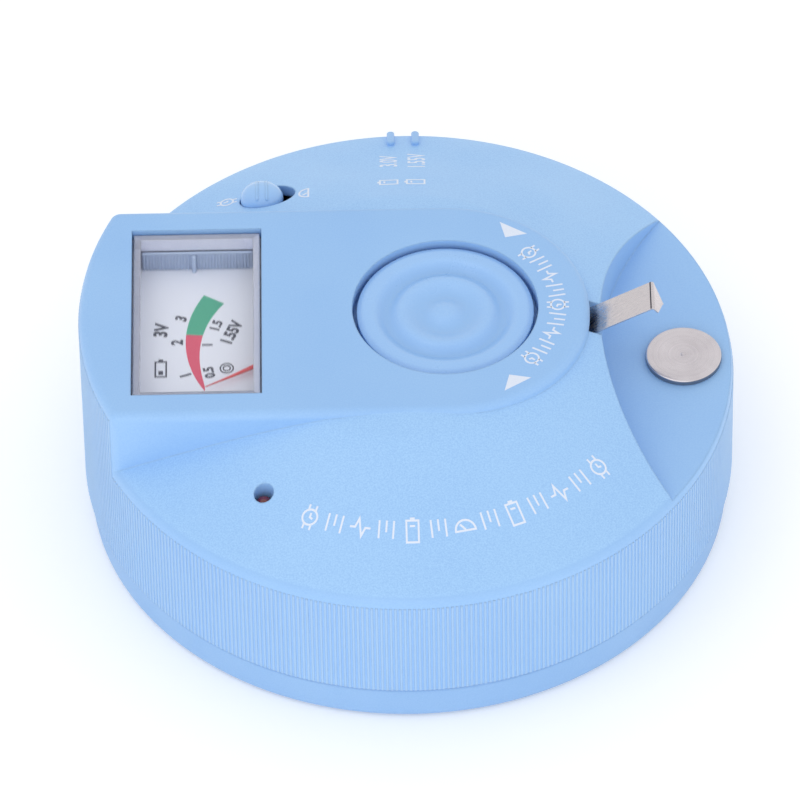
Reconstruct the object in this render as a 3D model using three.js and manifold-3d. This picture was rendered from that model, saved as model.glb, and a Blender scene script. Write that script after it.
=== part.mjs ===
// A round watch and battery tester: a ribbed two-part case on rubber feet, an analog meter under a clear
// window, a watch pad over a pickup coil, and a sprung contact strip above a button cell contact disc.
// Millimetres, +Z up. The origin is the centre of the round body, on the surface it stands on.
// +X runs from the meter to the contact disc, and +Y is the back.
import * as THREE from "three";
import { mergeVertices } from "three/addons/utils/BufferGeometryUtils.js";
import Module from "manifold-3d";

const wasm = await Module();
wasm.setup();

// ---- driving dimensions ----
const BODY_R = 57.5; // ribbed band of the top case
const WALL = 2.2; // walls of the top case
const GAP = 0.3; // clearance between neighbouring pieces
const SEAT = 0.1; // clearance under a piece that rests or is glued on another
const FOOT_PROUD = 0.5; // how far the rubber feet stand below the base
const BASE_TALL = 7.2; // base cover, underside to seam
const BASE_INSET = 0.7; // base cover inside the band, at the seam
const BASE_TAPER = 0.4; // and further in at the underside
const FLOOR = 3.2; // floor of the base cover
const BAND_TALL = 22.8; // band, seam to rim
const CONE_RISE = 0.435; // rise of the conical top for each millimetre inwards
const RIM_ROUND = 1.4; // rounding between band and cone
const TOP_TALL = 14; // top of the tongue above the rim
const TONGUE_ROUND = 1.6; // rounding of the raised tongue's upper edge
const CONTACT_ROOM = 25.35; // tongue's round end to the band
const PAD_HOLE_R = 16.3; // well of the watch pad, at the tongue's round end
const PAD_CLEAR = 0.8; // pad to the well's wall
const PAD_LAND = 9; // well to the tongue's edge
const PAD_LOW = 0.7; // crest of the pad below the tongue top
const PAD_THICK = 3.2;
const WELL_WALL = 1.6; // ring round the pad's well
const WELL_SHELF = 3.6; // shelf that the pad lies on, across
const WINDOW_LAND = [9.4, 5.2]; // window to the band, and to the tongue's long edges
const PIVOT_OFF = [5.25, 9]; // needle pivot to the well's ring, and to the window
const MOVEMENT_ROOM = 4.2; // above the dial, for the needle and its bridge
const METER_WALL = 1.2;
const NEEDLE_REACH = 22.3;
const NEEDLE_REST = 31.7; // degrees from the meter's middle line to the needle at rest
const RECESS_R = 56.5; // circle that cuts the contact recess
const RECESS_OFF = 1.85; // its wall beyond the tongue's end
const RECESS_LOW = 0.2; // recess floor below the rim
const DISC_OFF = 8.7; // contact disc's centre to the band
const DISC_R = 6.56;
const DISC_PROUD = 1.2;
const STUD_HOLE_R = 2.3; // hole for the disc's stud
const STRIP_WIDE = 6.6; // contact strip
const STRIP_THICK = 0.35;
const STRIP_RISE = 30; // degrees
const STRIP_REACH = 9.1; // recess wall to the fold of its end tab
const STRIP_FOLD_UP = 1.9; // height of the fold above the tongue top
const STRIP_ROOT = 4.7; // recess wall to where the strip starts to bend
const TAB_DROP = 53; // degrees below level
const TAB_LONG = 2.85;
const NOTCH_HALF = 4;
const LAMP_X = -25.2;
const LAMP_OFF = 10.9; // lamp to the tongue's long edge
const LAMP_R = 1.5;
const LAMP_HOLE_R = 1.73;
const MODE_X = -24.3; // middle of the mode slider's slot
const MODE_OFF = 10.6; // and to the tongue's long edge
const MODE_SLOT = [5, 3.85]; // half sizes of the oval slot
const MODE_KNOB = [3.8, 3.5]; // half sizes of the knob
const MODE_TRAVEL = 2;
const RANGE_TRAVEL = 4.4; // range slider in the rear wall, from -X to +X
const RANGE_KNOB = [4, 4.6]; // width and height of its knob
const RANGE_Z = 20.5;
const BATTERY = [26.5, 46.4, 17.5]; // 9 V block without its studs
const BATTERY_OFF = 2.1; // battery to the pickup coil
const BATTERY_Y = -1.05;
const STUD_R = [2.9, 3.6];
const STUD_TALL = 2.1;
const BAY_TALL = 9; // walls of the battery bay
const DOOR_THICK = 1.9;
const DOOR_LIP = 1.2; // tongue of the door in each groove
const PART_ROOM = 8.5; // above the circuit board, under the recess floor
const BOARD_THICK = 1.6;
const COIL_R = 11.5;
const COIL_CORE_R = 4;
const SCREW_OFF = 8.9; // case screws to the band
const SCREW_ANGLES = [60, 145, 215, 300];
const SHANK_R = 1.2;
const SCREW_GRIP = 8; // length of a case screw in its post
const HEAD_R = 2.6;
const FOOT_R = 3.5;
const FOOT_OFF = 10.5; // feet to the band
const LEAD_R = 0.6;
const FINE = 72; // sides of the round body
const MID = 36;
const COARSE = 16;
const SMALL = 8;

// ---- levels and places that follow from them ----
const Z_BASE = FOOT_PROUD;
const Z_FLOOR = Z_BASE + FLOOR;
const Z_SEAM = Z_BASE + BASE_TALL;
const Z_RIM = Z_SEAM + BAND_TALL;
const Z_TOP = Z_RIM + TOP_TALL;
const Z_RECESS = Z_RIM - RECESS_LOW;
const Z_CEILING = Z_TOP - WALL - GAP; // highest that a piece may reach under the tongue
const Z_DIAL = Z_CEILING - METER_WALL - MOVEMENT_ROOM;
const BOARD_Z = Z_RECESS - WALL - PART_ROOM - BOARD_THICK;
const TONGUE_HALF = PAD_HOLE_R + PAD_LAND;
const TONGUE_END = BODY_R - CONTACT_ROOM;
const PAD_X = TONGUE_END - TONGUE_HALF;
const PAD_R = PAD_HOLE_R - PAD_CLEAR;
const WELL_EDGE = PAD_X - PAD_HOLE_R - WELL_WALL;
const PIVOT_X = WELL_EDGE - PIVOT_OFF[0];
const WINDOW_X = [-BODY_R + WINDOW_LAND[0], PIVOT_X - PIVOT_OFF[1]];
const WINDOW_HALF = TONGUE_HALF - WINDOW_LAND[1];
const RECESS_WALL = TONGUE_END + RECESS_OFF;
const RECESS_X = RECESS_WALL + RECESS_R;
const DISC_X = BODY_R - DISC_OFF;
const STRIP_FOLD_X = RECESS_WALL + STRIP_REACH;
const STRIP_HINGE_X = RECESS_WALL - STRIP_ROOT;
const LAMP_Y = -TONGUE_HALF - LAMP_OFF;
const MODE_Y = TONGUE_HALF + MODE_OFF;
const BATTERY_X = PAD_X - COIL_R - BATTERY_OFF - BATTERY[0] / 2;
const SCREW_R = BODY_R - SCREW_OFF;
const FOOT_RING = BODY_R - FOOT_OFF;
const CONE_WALL = WALL * Math.hypot(1, CONE_RISE); // the cone's wall, measured upright
const CONE_TOP_R = TONGUE_HALF + 0.7;
const INNER_R = BODY_R - WALL;
const DEG = Math.PI / 180;

const coneHeight = (r) => Z_RIM + CONE_RISE * (BODY_R - r);

// ---- solids: closed geometry in, manifold solids out ----
function solid(geometry) {
  const bare = new THREE.BufferGeometry();
  bare.setAttribute("position", geometry.getAttribute("position"));
  bare.setIndex(geometry.index);
  const merged = mergeVertices(bare, 1e-4);
  const corners = [];
  const index = merged.index.array;
  for (let i = 0; i < index.length; i += 3) {
    const [a, b, c] = [index[i], index[i + 1], index[i + 2]];
    if (a !== b && b !== c && c !== a) corners.push(a, b, c);
  }
  const made = fromArrays(merged.attributes.position.array, corners);
  if (made.volume() > 0) return made;
  return fromArrays(merged.attributes.position.array, corners.reverse());
}

function fromArrays(positions, corners) {
  const mesh = new wasm.Mesh({
    numProp: 3,
    vertProperties: new Float32Array(positions),
    triVerts: new Uint32Array(corners),
  });
  return new wasm.Manifold(mesh);
}

function geometryOf(made) {
  const mesh = made.getMesh();
  const geometry = new THREE.BufferGeometry();
  geometry.setAttribute("position", new THREE.BufferAttribute(new Float32Array(mesh.vertProperties), 3));
  geometry.setIndex(new THREE.BufferAttribute(new Uint32Array(mesh.triVerts), 1));
  geometry.computeVertexNormals();
  return geometry;
}

const joined = (first, ...rest) => rest.reduce((all, next) => all.add(next), first);
const cutBy = (first, ...rest) => rest.reduce((left, next) => left.subtract(next), first);

function box(x0, x1, y0, y1, z0, z1) {
  const shape = new THREE.BoxGeometry(x1 - x0, y1 - y0, z1 - z0);
  shape.translate((x0 + x1) / 2, (y0 + y1) / 2, (z0 + z1) / 2);
  return solid(shape);
}

// A profile of [radius, height] pairs turned about an upright axis at x, y.
function turned(profile, x = 0, y = 0, sides = MID) {
  const points = profile.map(([r, z]) => new THREE.Vector2(r, z));
  const shape = new THREE.LatheGeometry(points, sides);
  shape.rotateX(Math.PI / 2);
  shape.translate(x, y, 0);
  return solid(shape);
}

const post = (r, z0, z1, x = 0, y = 0, sides = MID) =>
  turned([[0, z0], [r, z0], [r, z1], [0, z1]], x, y, sides);

const ring = (r0, r1, z0, z1, x = 0, y = 0, sides = MID) =>
  turned([[r0, z0], [r1, z0], [r1, z1], [r0, z1], [r0, z0]], x, y, sides);

// A flat outline raised from z0 to z1, with an optional rounding of both edges.
function raised(shape, z0, z1, round = 0, curveSegments = 18) {
  const extruded = new THREE.ExtrudeGeometry(shape, {
    depth: z1 - z0 - 2 * round,
    curveSegments,
    bevelEnabled: round > 0,
    bevelThickness: round,
    bevelSize: round,
    bevelOffset: -round,
    bevelSegments: 3,
  });
  extruded.translate(0, 0, z0 + round);
  return solid(extruded);
}

// A side outline in X and Z, given thickness in Y about the middle plane.
function sideCut(points, half, y = 0) {
  const shape = new THREE.Shape(points.map(([x, z]) => new THREE.Vector2(x, z)));
  const extruded = new THREE.ExtrudeGeometry(shape, { depth: 2 * half, bevelEnabled: false });
  extruded.rotateX(Math.PI / 2);
  extruded.translate(0, y + half, 0);
  return solid(extruded);
}

// A round bar along X or Y, from one end to the other.
function bar(r, from, to, sides = COARSE) {
  const [a, b] = [new THREE.Vector3(...from), new THREE.Vector3(...to)];
  const shape = new THREE.CylinderGeometry(r, r, a.distanceTo(b), sides);
  const along = new THREE.Vector3().subVectors(b, a).normalize();
  shape.applyQuaternion(new THREE.Quaternion().setFromUnitVectors(new THREE.Vector3(0, 1, 0), along));
  shape.translate(...a.add(b).multiplyScalar(0.5).toArray());
  return solid(shape);
}

// Rounded corner between two profile points: from, the corner itself, to.
function rounded(from, corner, to, steps = 4) {
  const curve = new THREE.QuadraticBezierCurve(
    new THREE.Vector2(...from),
    new THREE.Vector2(...corner),
    new THREE.Vector2(...to),
  );
  return curve.getPoints(steps).map((p) => [p.x, p.y]);
}

function oval(halfX, halfY, x, y) {
  const shape = new THREE.Shape();
  shape.absellipse(x, y, halfX, halfY, 0, 2 * Math.PI);
  return shape;
}

// A straight sided outline with one round end, running from beyond the case to the pad.
function tongueOutline(half) {
  const shape = new THREE.Shape();
  shape.moveTo(-BODY_R - 5, -half);
  shape.lineTo(PAD_X, -half);
  shape.absarc(PAD_X, 0, half, -Math.PI / 2, Math.PI / 2);
  shape.lineTo(-BODY_R - 5, half);
  return shape;
}

const onRing = (r, degrees) => [r * Math.cos(degrees * DEG), r * Math.sin(degrees * DEG)];

// ---- materials ----
const finish = (color, roughness, metalness = 0) =>
  new THREE.MeshStandardMaterial({ color, roughness, metalness });
const blue = finish(0x9fc8f2, 0.5);
const padBlue = finish(0x8dbcec, 0.4);
const nickel = finish(0xb9b4a8, 0.28, 1);
const steel = finish(0xa9adb2, 0.35, 1);
const clear = new THREE.MeshStandardMaterial({
  color: 0xe8eef6,
  roughness: 0.08,
  transparent: true,
  opacity: 0.3,
});
const black = finish(0x1d1e20, 0.55);
const white = finish(0xe6e9f2, 0.6);
const red = finish(0xd9545f, 0.45);
const darkRed = finish(0x7c1a26, 0.2);
const rubber = finish(0x2a2b2e, 0.9);
const green = finish(0x1f6b45, 0.5);
const copper = finish(0xb56a36, 0.35, 1);
const ferrite = finish(0x3b3d42, 0.8);
const tan = finish(0xcdb38a, 0.5);
const brass = finish(0xc7a45a, 0.3, 1);
const batteryWrap = finish(0x30343c, 0.35);

// ---- top case ----
const recessDisc = (grow, z0) => post(RECESS_R + grow, z0, Z_TOP + 10, RECESS_X, 0, 2 * FINE);

function caseOuter() {
  const cone = turned(
    [
      [0, Z_SEAM],
      [BODY_R, Z_SEAM],
      ...rounded(
        [BODY_R, Z_RIM - RIM_ROUND],
        [BODY_R, Z_RIM],
        [BODY_R - RIM_ROUND, coneHeight(BODY_R - RIM_ROUND)],
      ),
      [CONE_TOP_R, coneHeight(CONE_TOP_R)],
      [0, coneHeight(CONE_TOP_R)],
    ],
    0,
    0,
    FINE,
  );
  const tongue = raised(tongueOutline(TONGUE_HALF), Z_RIM - TOP_TALL, Z_TOP, TONGUE_ROUND);
  const envelope = turned(
    [
      [0, Z_SEAM],
      [BODY_R, Z_SEAM],
      ...rounded([BODY_R, Z_TOP - TONGUE_ROUND], [BODY_R, Z_TOP], [BODY_R - TONGUE_ROUND, Z_TOP]),
      [0, Z_TOP],
    ],
    0,
    0,
    FINE,
  );
  const ribs = [-1, 1].map((side) => indexRib((side * RANGE_TRAVEL) / 2));
  return joined(cone, tongue).subtract(recessDisc(0, Z_RECESS)).intersect(envelope).add(ribs[0]).add(ribs[1]);
}

// One of the two small ribs over the back rim that mark the range slider's places.
function indexRib(x) {
  const [inner, outer, proud, half] = [BODY_R - 4.8, BODY_R - 0.3, 0.8, 0.65];
  const shape = new THREE.Shape(
    [
      [inner, coneHeight(inner) - 1],
      [outer, Z_RIM - 2.5],
      [outer, Z_RIM + 0.2],
      [outer - 0.6, coneHeight(outer - 0.6) + proud],
      [inner + 0.8, coneHeight(inner + 0.8) + proud],
      [inner, coneHeight(inner) + 0.2],
    ].map(([y, z]) => new THREE.Vector2(y, z)),
  );
  const extruded = new THREE.ExtrudeGeometry(shape, { depth: 2 * half, bevelEnabled: false });
  extruded.rotateX(Math.PI / 2);
  extruded.rotateZ(Math.PI / 2);
  extruded.translate(x - half, 0, 0);
  return solid(extruded);
}

function caseCavity() {
  const under = turned(
    [
      [0, Z_SEAM - 1],
      [INNER_R, Z_SEAM - 1],
      [INNER_R, coneHeight(INNER_R) - CONE_WALL],
      [CONE_TOP_R, coneHeight(CONE_TOP_R) - CONE_WALL],
      [0, coneHeight(CONE_TOP_R) - CONE_WALL],
    ],
    0,
    0,
    FINE,
  );
  const inTongue = raised(tongueOutline(TONGUE_HALF - WALL), Z_SEAM - 1, Z_TOP - WALL);
  const limit = post(INNER_R, Z_SEAM - 2, Z_TOP - WALL, 0, 0, FINE);
  return joined(under, inTongue).intersect(limit).subtract(recessDisc(WALL, Z_RECESS - WALL));
}

const PAD_SHELF = Z_TOP - PAD_LOW - PAD_THICK - SEAT;
const WELL_LOW = PAD_SHELF - 1.5;
const LAMP_LOW = coneHeight(Math.hypot(LAMP_X, LAMP_Y)) - 7;
const STRIP_FOLD_Z = Z_TOP + STRIP_FOLD_UP;
const stripZ = (x) => STRIP_FOLD_Z - (STRIP_FOLD_X - x) * Math.tan(STRIP_RISE * DEG);
const ANCHOR_Z = stripZ(STRIP_HINGE_X) - 1.4; // level part of the strip, inside the case
const ANCHOR_BEND = STRIP_HINGE_X - 1.4 / Math.tan(STRIP_RISE * DEG);
const ANCHOR_X = [ANCHOR_BEND - 7.4, ANCHOR_BEND];
const ANCHOR_SCREW_X = PAD_X + PAD_HOLE_R + 2;
const BOSS_LOW = ANCHOR_Z + STRIP_THICK / 2 + SEAT;
const NOTCH_X = [TONGUE_END - WALL - 1, RECESS_WALL + 1];
const POST_LOW = Z_FLOOR + BAY_TALL + GAP; // clear of the battery bay
const POST_R = 3.4;
const screwPlaces = SCREW_ANGLES.map((degrees) => onRing(SCREW_R, degrees));

function topCase() {
  let made = caseOuter().subtract(caseCavity());
  const well = ring(PAD_HOLE_R - WELL_SHELF, PAD_HOLE_R + WELL_WALL, WELL_LOW, Z_TOP - WALL / 2, PAD_X, 0, MID);
  const boss = box(ANCHOR_X[0], ANCHOR_X[1] - 0.4, -4.2, 4.2, BOSS_LOW, Z_TOP - WALL / 2);
  const sleeveTop = coneHeight(Math.hypot(LAMP_X, LAMP_Y) + 3) - 0.3;
  const sleeve = post(3, LAMP_LOW, sleeveTop, LAMP_X, LAMP_Y, COARSE);
  made = joined(made, well, boss, sleeve);
  for (const [x, y] of screwPlaces) {
    made = made.add(post(POST_R, POST_LOW, coneHeight(SCREW_R + POST_R) - 0.4, x, y, COARSE));
    made = made.subtract(post(SHANK_R + GAP, POST_LOW - 1, POST_LOW + SCREW_GRIP + GAP, x, y, SMALL));
  }
  const anchorHole = post(0.9 + GAP, ANCHOR_Z - 2, ANCHOR_Z + 4, ANCHOR_SCREW_X, 0, SMALL);
  const knobSlot = raised(oval(...MODE_SLOT, MODE_X, MODE_Y), Z_RIM - 4, Z_TOP + 5, 0, 12);
  const reach = (RANGE_TRAVEL + RANGE_KNOB[0]) / 2 + GAP;
  const tall = RANGE_KNOB[1] / 2 + GAP;
  return cutBy(
    made,
    post(PAD_HOLE_R, PAD_SHELF, Z_TOP + 1, PAD_X, 0, MID),
    post(PAD_HOLE_R - WELL_SHELF, WELL_LOW - 1, Z_TOP + 1, PAD_X, 0, MID),
    box(...WINDOW_X, -WINDOW_HALF, WINDOW_HALF, Z_TOP - 2 * WALL, Z_TOP + 1),
    post(LAMP_HOLE_R, LAMP_LOW - 1, Z_TOP, LAMP_X, LAMP_Y, COARSE),
    knobSlot,
    anchorHole,
    box(-reach, reach, INNER_R - 2, BODY_R + 1, RANGE_Z - tall, RANGE_Z + tall),
    box(...NOTCH_X, -NOTCH_HALF, NOTCH_HALF, stripZ(STRIP_HINGE_X) - 2.2, Z_TOP - WALL - GAP),
    post(STUD_HOLE_R, Z_RECESS - WALL - 1, Z_RECESS + 1, DISC_X, 0, COARSE),
  );
}

// ---- base cover and battery door ----
function baseBlank() {
  const round = 0.8;
  const low = BODY_R - BASE_INSET - BASE_TAPER;
  return turned(
    [
      [0, Z_BASE],
      ...rounded([low - round, Z_BASE], [low, Z_BASE], [low + BASE_TAPER / 9, Z_BASE + round], 3),
      [BODY_R - BASE_INSET, Z_SEAM - SEAT],
      [0, Z_SEAM - SEAT],
    ],
    0,
    0,
    FINE,
  );
}

const BAY_CLEAR = 0.5;
const BAY_X = [BATTERY_X - BATTERY[0] / 2 - BAY_CLEAR, BATTERY_X + BATTERY[0] / 2 + BAY_CLEAR];
const BATTERY_Y_ENDS = [BATTERY_Y - BATTERY[1] / 2, BATTERY_Y + BATTERY[1] / 2];
const SNAP_Y = BATTERY_Y_ENDS[1] + STUD_TALL + GAP;
const SNAP_THICK = 2.6;
const BAY_Y = [BATTERY_Y_ENDS[0] - BAY_CLEAR, SNAP_Y + SNAP_THICK + 3.2];
const BAY_WALL = 1.5;
const DOOR_TOP = Z_BASE + DOOR_THICK;
const LIP_Z = [Z_BASE + 0.95, Z_BASE + 1.7];
const Z_BATTERY = DOOR_TOP + GAP;
const Z_BATTERY_TOP = Z_BATTERY + BATTERY[2];
const BOSS_TOP = POST_LOW - SEAT;
const PEGS = [
  ...[-1, 1].map((side) => [BAY_X[1] + BAY_WALL + 6.8, side * (BODY_R / 2)]),
  ...[-1, 1].map((side) => onRing(BODY_R - 15.1, side * 19)),
];

function baseCover() {
  const lipR = INNER_R - GAP;
  const inside = turned(
    [
      [0, Z_FLOOR],
      [lipR - 1.6, Z_FLOOR],
      [lipR - 1.6, Z_SEAM + 5],
      [0, Z_SEAM + 5],
    ],
    0,
    0,
    FINE,
  );
  let made = baseBlank().add(ring(lipR - 1.6, lipR, Z_SEAM - 1, Z_SEAM + 2, 0, 0, FINE)).subtract(inside);
  made = made.add(
    box(BAY_X[0] - BAY_WALL, BAY_X[1] + BAY_WALL, BAY_Y[0] - BAY_WALL, BAY_Y[1] + BAY_WALL, Z_BASE + 1, Z_FLOOR + BAY_TALL),
  );
  for (const [x, y] of screwPlaces) made = made.add(post(HEAD_R + 1.5, Z_BASE, BOSS_TOP, x, y, COARSE));
  for (const [x, y] of PEGS) made = made.add(post(2.2, Z_FLOOR - 1, BOARD_Z - SEAT, x, y, SMALL));
  made = cutBy(
    made,
    box(...BAY_X, ...BAY_Y, Z_BASE - 1, Z_FLOOR + BAY_TALL + 1),
    box(...BAY_X, BAY_Y[0], BODY_R + 1, Z_BASE - 1, DOOR_TOP + GAP),
    box(BAY_X[0] - DOOR_LIP, BAY_X[1] + DOOR_LIP, BAY_Y[0], BODY_R + 1, LIP_Z[0] - GAP, LIP_Z[1] + GAP),
  );
  for (const [x, y] of screwPlaces) {
    made = made.subtract(post(HEAD_R + GAP, Z_BASE - 1, Z_BASE + 3.4, x, y, COARSE));
    made = made.subtract(post(SHANK_R + GAP, Z_BASE, BOSS_TOP + 1, x, y, SMALL));
  }
  for (const [x, y] of footPlaces) {
    made = made.subtract(post(FOOT_R + GAP, Z_BASE - 1, Z_BASE + 1.5, x, y, COARSE));
  }
  return made;
}

// Two feet stand on the middle line, and two beside the battery door.
const FOOT_X = BAY_X[1] + DOOR_LIP + FOOT_R + 1.55;
const FOOT_Y = Math.sqrt(FOOT_RING ** 2 - FOOT_X ** 2);
const footPlaces = [
  [FOOT_RING, 0],
  [FOOT_X, FOOT_Y],
  [-FOOT_RING, 0],
  [FOOT_X, -FOOT_Y],
];

function batteryDoor() {
  const panel = box(BAY_X[0] + GAP, BAY_X[1] - GAP, BAY_Y[0] + GAP, BODY_R, Z_BASE, DOOR_TOP);
  const lips = box(
    BAY_X[0] - DOOR_LIP + GAP,
    BAY_X[1] + DOOR_LIP - GAP,
    BAY_Y[0] + GAP,
    BODY_R,
    ...LIP_Z,
  );
  return panel.add(lips).intersect(baseBlank());
}

// ---- battery, snap and leads ----
const STUD_X = [BATTERY_X - 6.35, BATTERY_X + 6.35];
const STUD_Z = Z_BATTERY + BATTERY[2] / 2;

function battery() {
  const outline = new THREE.Shape();
  const [halfX, halfZ, round] = [BATTERY[0] / 2, BATTERY[2] / 2, 2.2];
  outline.moveTo(-halfX + round, -halfZ);
  outline.absarc(halfX - round, -halfZ + round, round, -Math.PI / 2, 0);
  outline.absarc(halfX - round, halfZ - round, round, 0, Math.PI / 2);
  outline.absarc(-halfX + round, halfZ - round, round, Math.PI / 2, Math.PI);
  outline.absarc(-halfX + round, -halfZ + round, round, Math.PI, 1.5 * Math.PI);
  const block = new THREE.ExtrudeGeometry(outline, { depth: BATTERY[1], bevelEnabled: false, curveSegments: 4 });
  block.rotateX(Math.PI / 2);
  block.translate(BATTERY_X, BATTERY_Y_ENDS[1], STUD_Z);
  const studs = STUD_X.map((x, i) =>
    bar(STUD_R[i], [x, BATTERY_Y_ENDS[1] - 1, STUD_Z], [x, BATTERY_Y_ENDS[1] + STUD_TALL, STUD_Z]),
  );
  return joined(solid(block), ...studs);
}

function batterySnap() {
  const plate = box(BATTERY_X - 12, BATTERY_X + 12, SNAP_Y, SNAP_Y + SNAP_THICK, STUD_Z - 6, STUD_Z + 6);
  let made = plate;
  STUD_X.forEach((x, i) => {
    made = made.add(bar(STUD_R[i] + 1.1, [x, SNAP_Y - 1.6, STUD_Z], [x, SNAP_Y + 1, STUD_Z]));
    made = made.subtract(bar(STUD_R[i] + GAP, [x, SNAP_Y - 3, STUD_Z], [x, SNAP_Y - 0.1, STUD_Z]));
  });
  return made;
}

// An insulated lead through hand-placed points.
function lead(points) {
  const path = new THREE.CatmullRomCurve3(points.map((p) => new THREE.Vector3(...p)));
  const section = new THREE.Shape(
    Array.from({ length: 8 }, (_, i) => {
      const [x, y] = onRing(LEAD_R, 45 * i);
      return new THREE.Vector2(x, y);
    }),
  );
  const geometry = new THREE.ExtrudeGeometry(section, { steps: 16, extrudePath: path, bevelEnabled: false });
  return solid(geometry);
}

// ---- circuit board ----
const BOARD_TOP = BOARD_Z + BOARD_THICK;
const ON_BOARD = BOARD_TOP + SEAT;
const BOARD_X = BAY_X[1] + BAY_WALL + 1;
const BOARD_R = INNER_R - 5.3;
const BOARD_HALF = BOARD_R - 14.5;
const COIL_EDGE = PAD_X + COIL_R;

function board() {
  const disc = post(BOARD_R, BOARD_Z, BOARD_TOP, 0, 0, MID);
  const limit = box(BOARD_X, BOARD_R + 1, -BOARD_HALF, BOARD_HALF, BOARD_Z - 1, BOARD_TOP + 1);
  return disc.intersect(limit);
}

function chip(x, y) {
  const half = [3.2, 9.6];
  let made = box(x - half[0], x + half[0], y - half[1], y + half[1], ON_BOARD + 0.8, ON_BOARD + 4);
  for (const side of [-1, 1]) {
    for (let i = 0; i < 7; i += 1) {
      const at = y + (i - 3) * 2.54;
      const [near, far] = [x + side * (half[0] - 0.5), x + side * (half[0] + 0.7)];
      made = made.add(
        box(Math.min(near, far), Math.max(near, far), at - 0.4, at + 0.4, ON_BOARD, ON_BOARD + 2.6),
      );
    }
  }
  return made;
}

const can = (r, tall, x, y) =>
  turned(
    [
      [0, ON_BOARD],
      [r, ON_BOARD],
      [r, ON_BOARD + 0.8],
      [r - 0.25, ON_BOARD + 1.2],
      [r, ON_BOARD + 1.6],
      [r, ON_BOARD + tall],
      [0, ON_BOARD + tall],
    ],
    x,
    y,
    COARSE,
  );

function resistor(x, y) {
  const z = ON_BOARD + 1.3;
  const body = bar(1.15, [x, y - 3.1, z], [x, y + 3.1, z], 12);
  const wire = bar(0.3, [x, y - 5, z], [x, y + 5, z], 6);
  const legs = [-5, 5].map((end) => box(x - 0.3, x + 0.3, y + end - 0.3, y + end + 0.3, ON_BOARD, z + 0.3));
  return joined(body, wire, ...legs);
}

function trimmer(x, y) {
  const block = box(x - 3.3, x + 3.3, y - 3.3, y + 3.3, ON_BOARD, ON_BOARD + 3.4);
  const rotor = post(2.4, ON_BOARD + 3, ON_BOARD + 4.6, x, y, COARSE);
  const slot = box(x - 1.9, x + 1.9, y - 0.35, y + 0.35, ON_BOARD + 4, ON_BOARD + 5);
  return block.add(rotor).subtract(slot);
}

function buzzer(x, y) {
  const shell = turned(
    [
      [0, ON_BOARD],
      [6, ON_BOARD],
      [6, ON_BOARD + 6.4],
      [5.6, ON_BOARD + 6.8],
      [0, ON_BOARD + 6.8],
    ],
    x,
    y,
    24,
  );
  return shell.subtract(post(1, ON_BOARD + 2, ON_BOARD + 8, x, y, SMALL));
}

// ---- pickup coil under the pad ----
const COIL_Z = [ON_BOARD, WELL_LOW - 1.2];
const FLANGE = 1.2;

function bobbin() {
  return turned(
    [
      [COIL_CORE_R + GAP, COIL_Z[0]],
      [COIL_R, COIL_Z[0]],
      [COIL_R, COIL_Z[0] + FLANGE],
      [COIL_CORE_R + 1.5, COIL_Z[0] + FLANGE],
      [COIL_CORE_R + 1.5, COIL_Z[1] - FLANGE],
      [COIL_R, COIL_Z[1] - FLANGE],
      [COIL_R, COIL_Z[1]],
      [COIL_CORE_R + GAP, COIL_Z[1]],
      [COIL_CORE_R + GAP, COIL_Z[0]],
    ],
    PAD_X,
    0,
    24,
  );
}

const winding = () =>
  ring(COIL_CORE_R + 1.5 + SEAT, COIL_R - 0.8, COIL_Z[0] + FLANGE + SEAT, COIL_Z[1] - FLANGE - SEAT, PAD_X, 0, 24);
const core = () => post(COIL_CORE_R, COIL_Z[0] + SEAT, COIL_Z[1] + 0.8, PAD_X, 0, COARSE);

// ---- watch pad: two rounded rings about a low middle boss ----
function pad() {
  const top = Z_TOP - PAD_LOW;
  const low = top - PAD_THICK;
  const groove = 0.75;
  const crests = [
    [0, 0.35],
    [0.13, 0.35],
    [0.27, groove],
    [0.38, 0.2],
    [0.5, 0],
    [0.62, 0.2],
    [0.73, groove],
    [0.8, 0.2],
    [0.87, 0],
    [0.94, 0.15],
    [1, 0.8],
  ];
  const profile = crests.map(([share, down]) => [share * PAD_R, top - down]).reverse();
  return turned([[0, low], [PAD_R, low], ...profile], PAD_X, 0, MID);
}

// ---- lamp ----
function lamp() {
  const top = coneHeight(Math.hypot(LAMP_X, LAMP_Y)) - 1.6;
  const low = LAMP_LOW - 1.4;
  const dome = rounded([LAMP_R, top - LAMP_R], [LAMP_R, top], [0, top], 4);
  const body = turned(
    [[0, low], [LAMP_R + 0.4, low], [LAMP_R + 0.4, low + 1], [LAMP_R, low + 1], ...dome],
    LAMP_X,
    LAMP_Y,
    COARSE,
  );
  const legs = [-1.27, 1.27].map((off) =>
    box(LAMP_X + off - 0.25, LAMP_X + off + 0.25, LAMP_Y - 0.25, LAMP_Y + 0.25, low - 6, low + 0.5),
  );
  return joined(body, ...legs);
}

// ---- mode slider ----
const MODE_BODY_TOP = Z_RIM - 0.4;
const MODE_REST_X = MODE_X - MODE_TRAVEL / 2;

function modeSwitch() {
  const [halfX, halfY, tall] = [6, 3.4, 5.6];
  const block = box(MODE_X - halfX, MODE_X + halfX, MODE_Y - halfY, MODE_Y + halfY, MODE_BODY_TOP - tall, MODE_BODY_TOP);
  const pins = [-1, 0, 1].map((i) =>
    box(MODE_X + i * 3 - 0.3, MODE_X + i * 3 + 0.3, MODE_Y - 0.3, MODE_Y + 0.3, MODE_BODY_TOP - tall - 3, MODE_BODY_TOP - 4),
  );
  return joined(block, ...pins);
}

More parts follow.
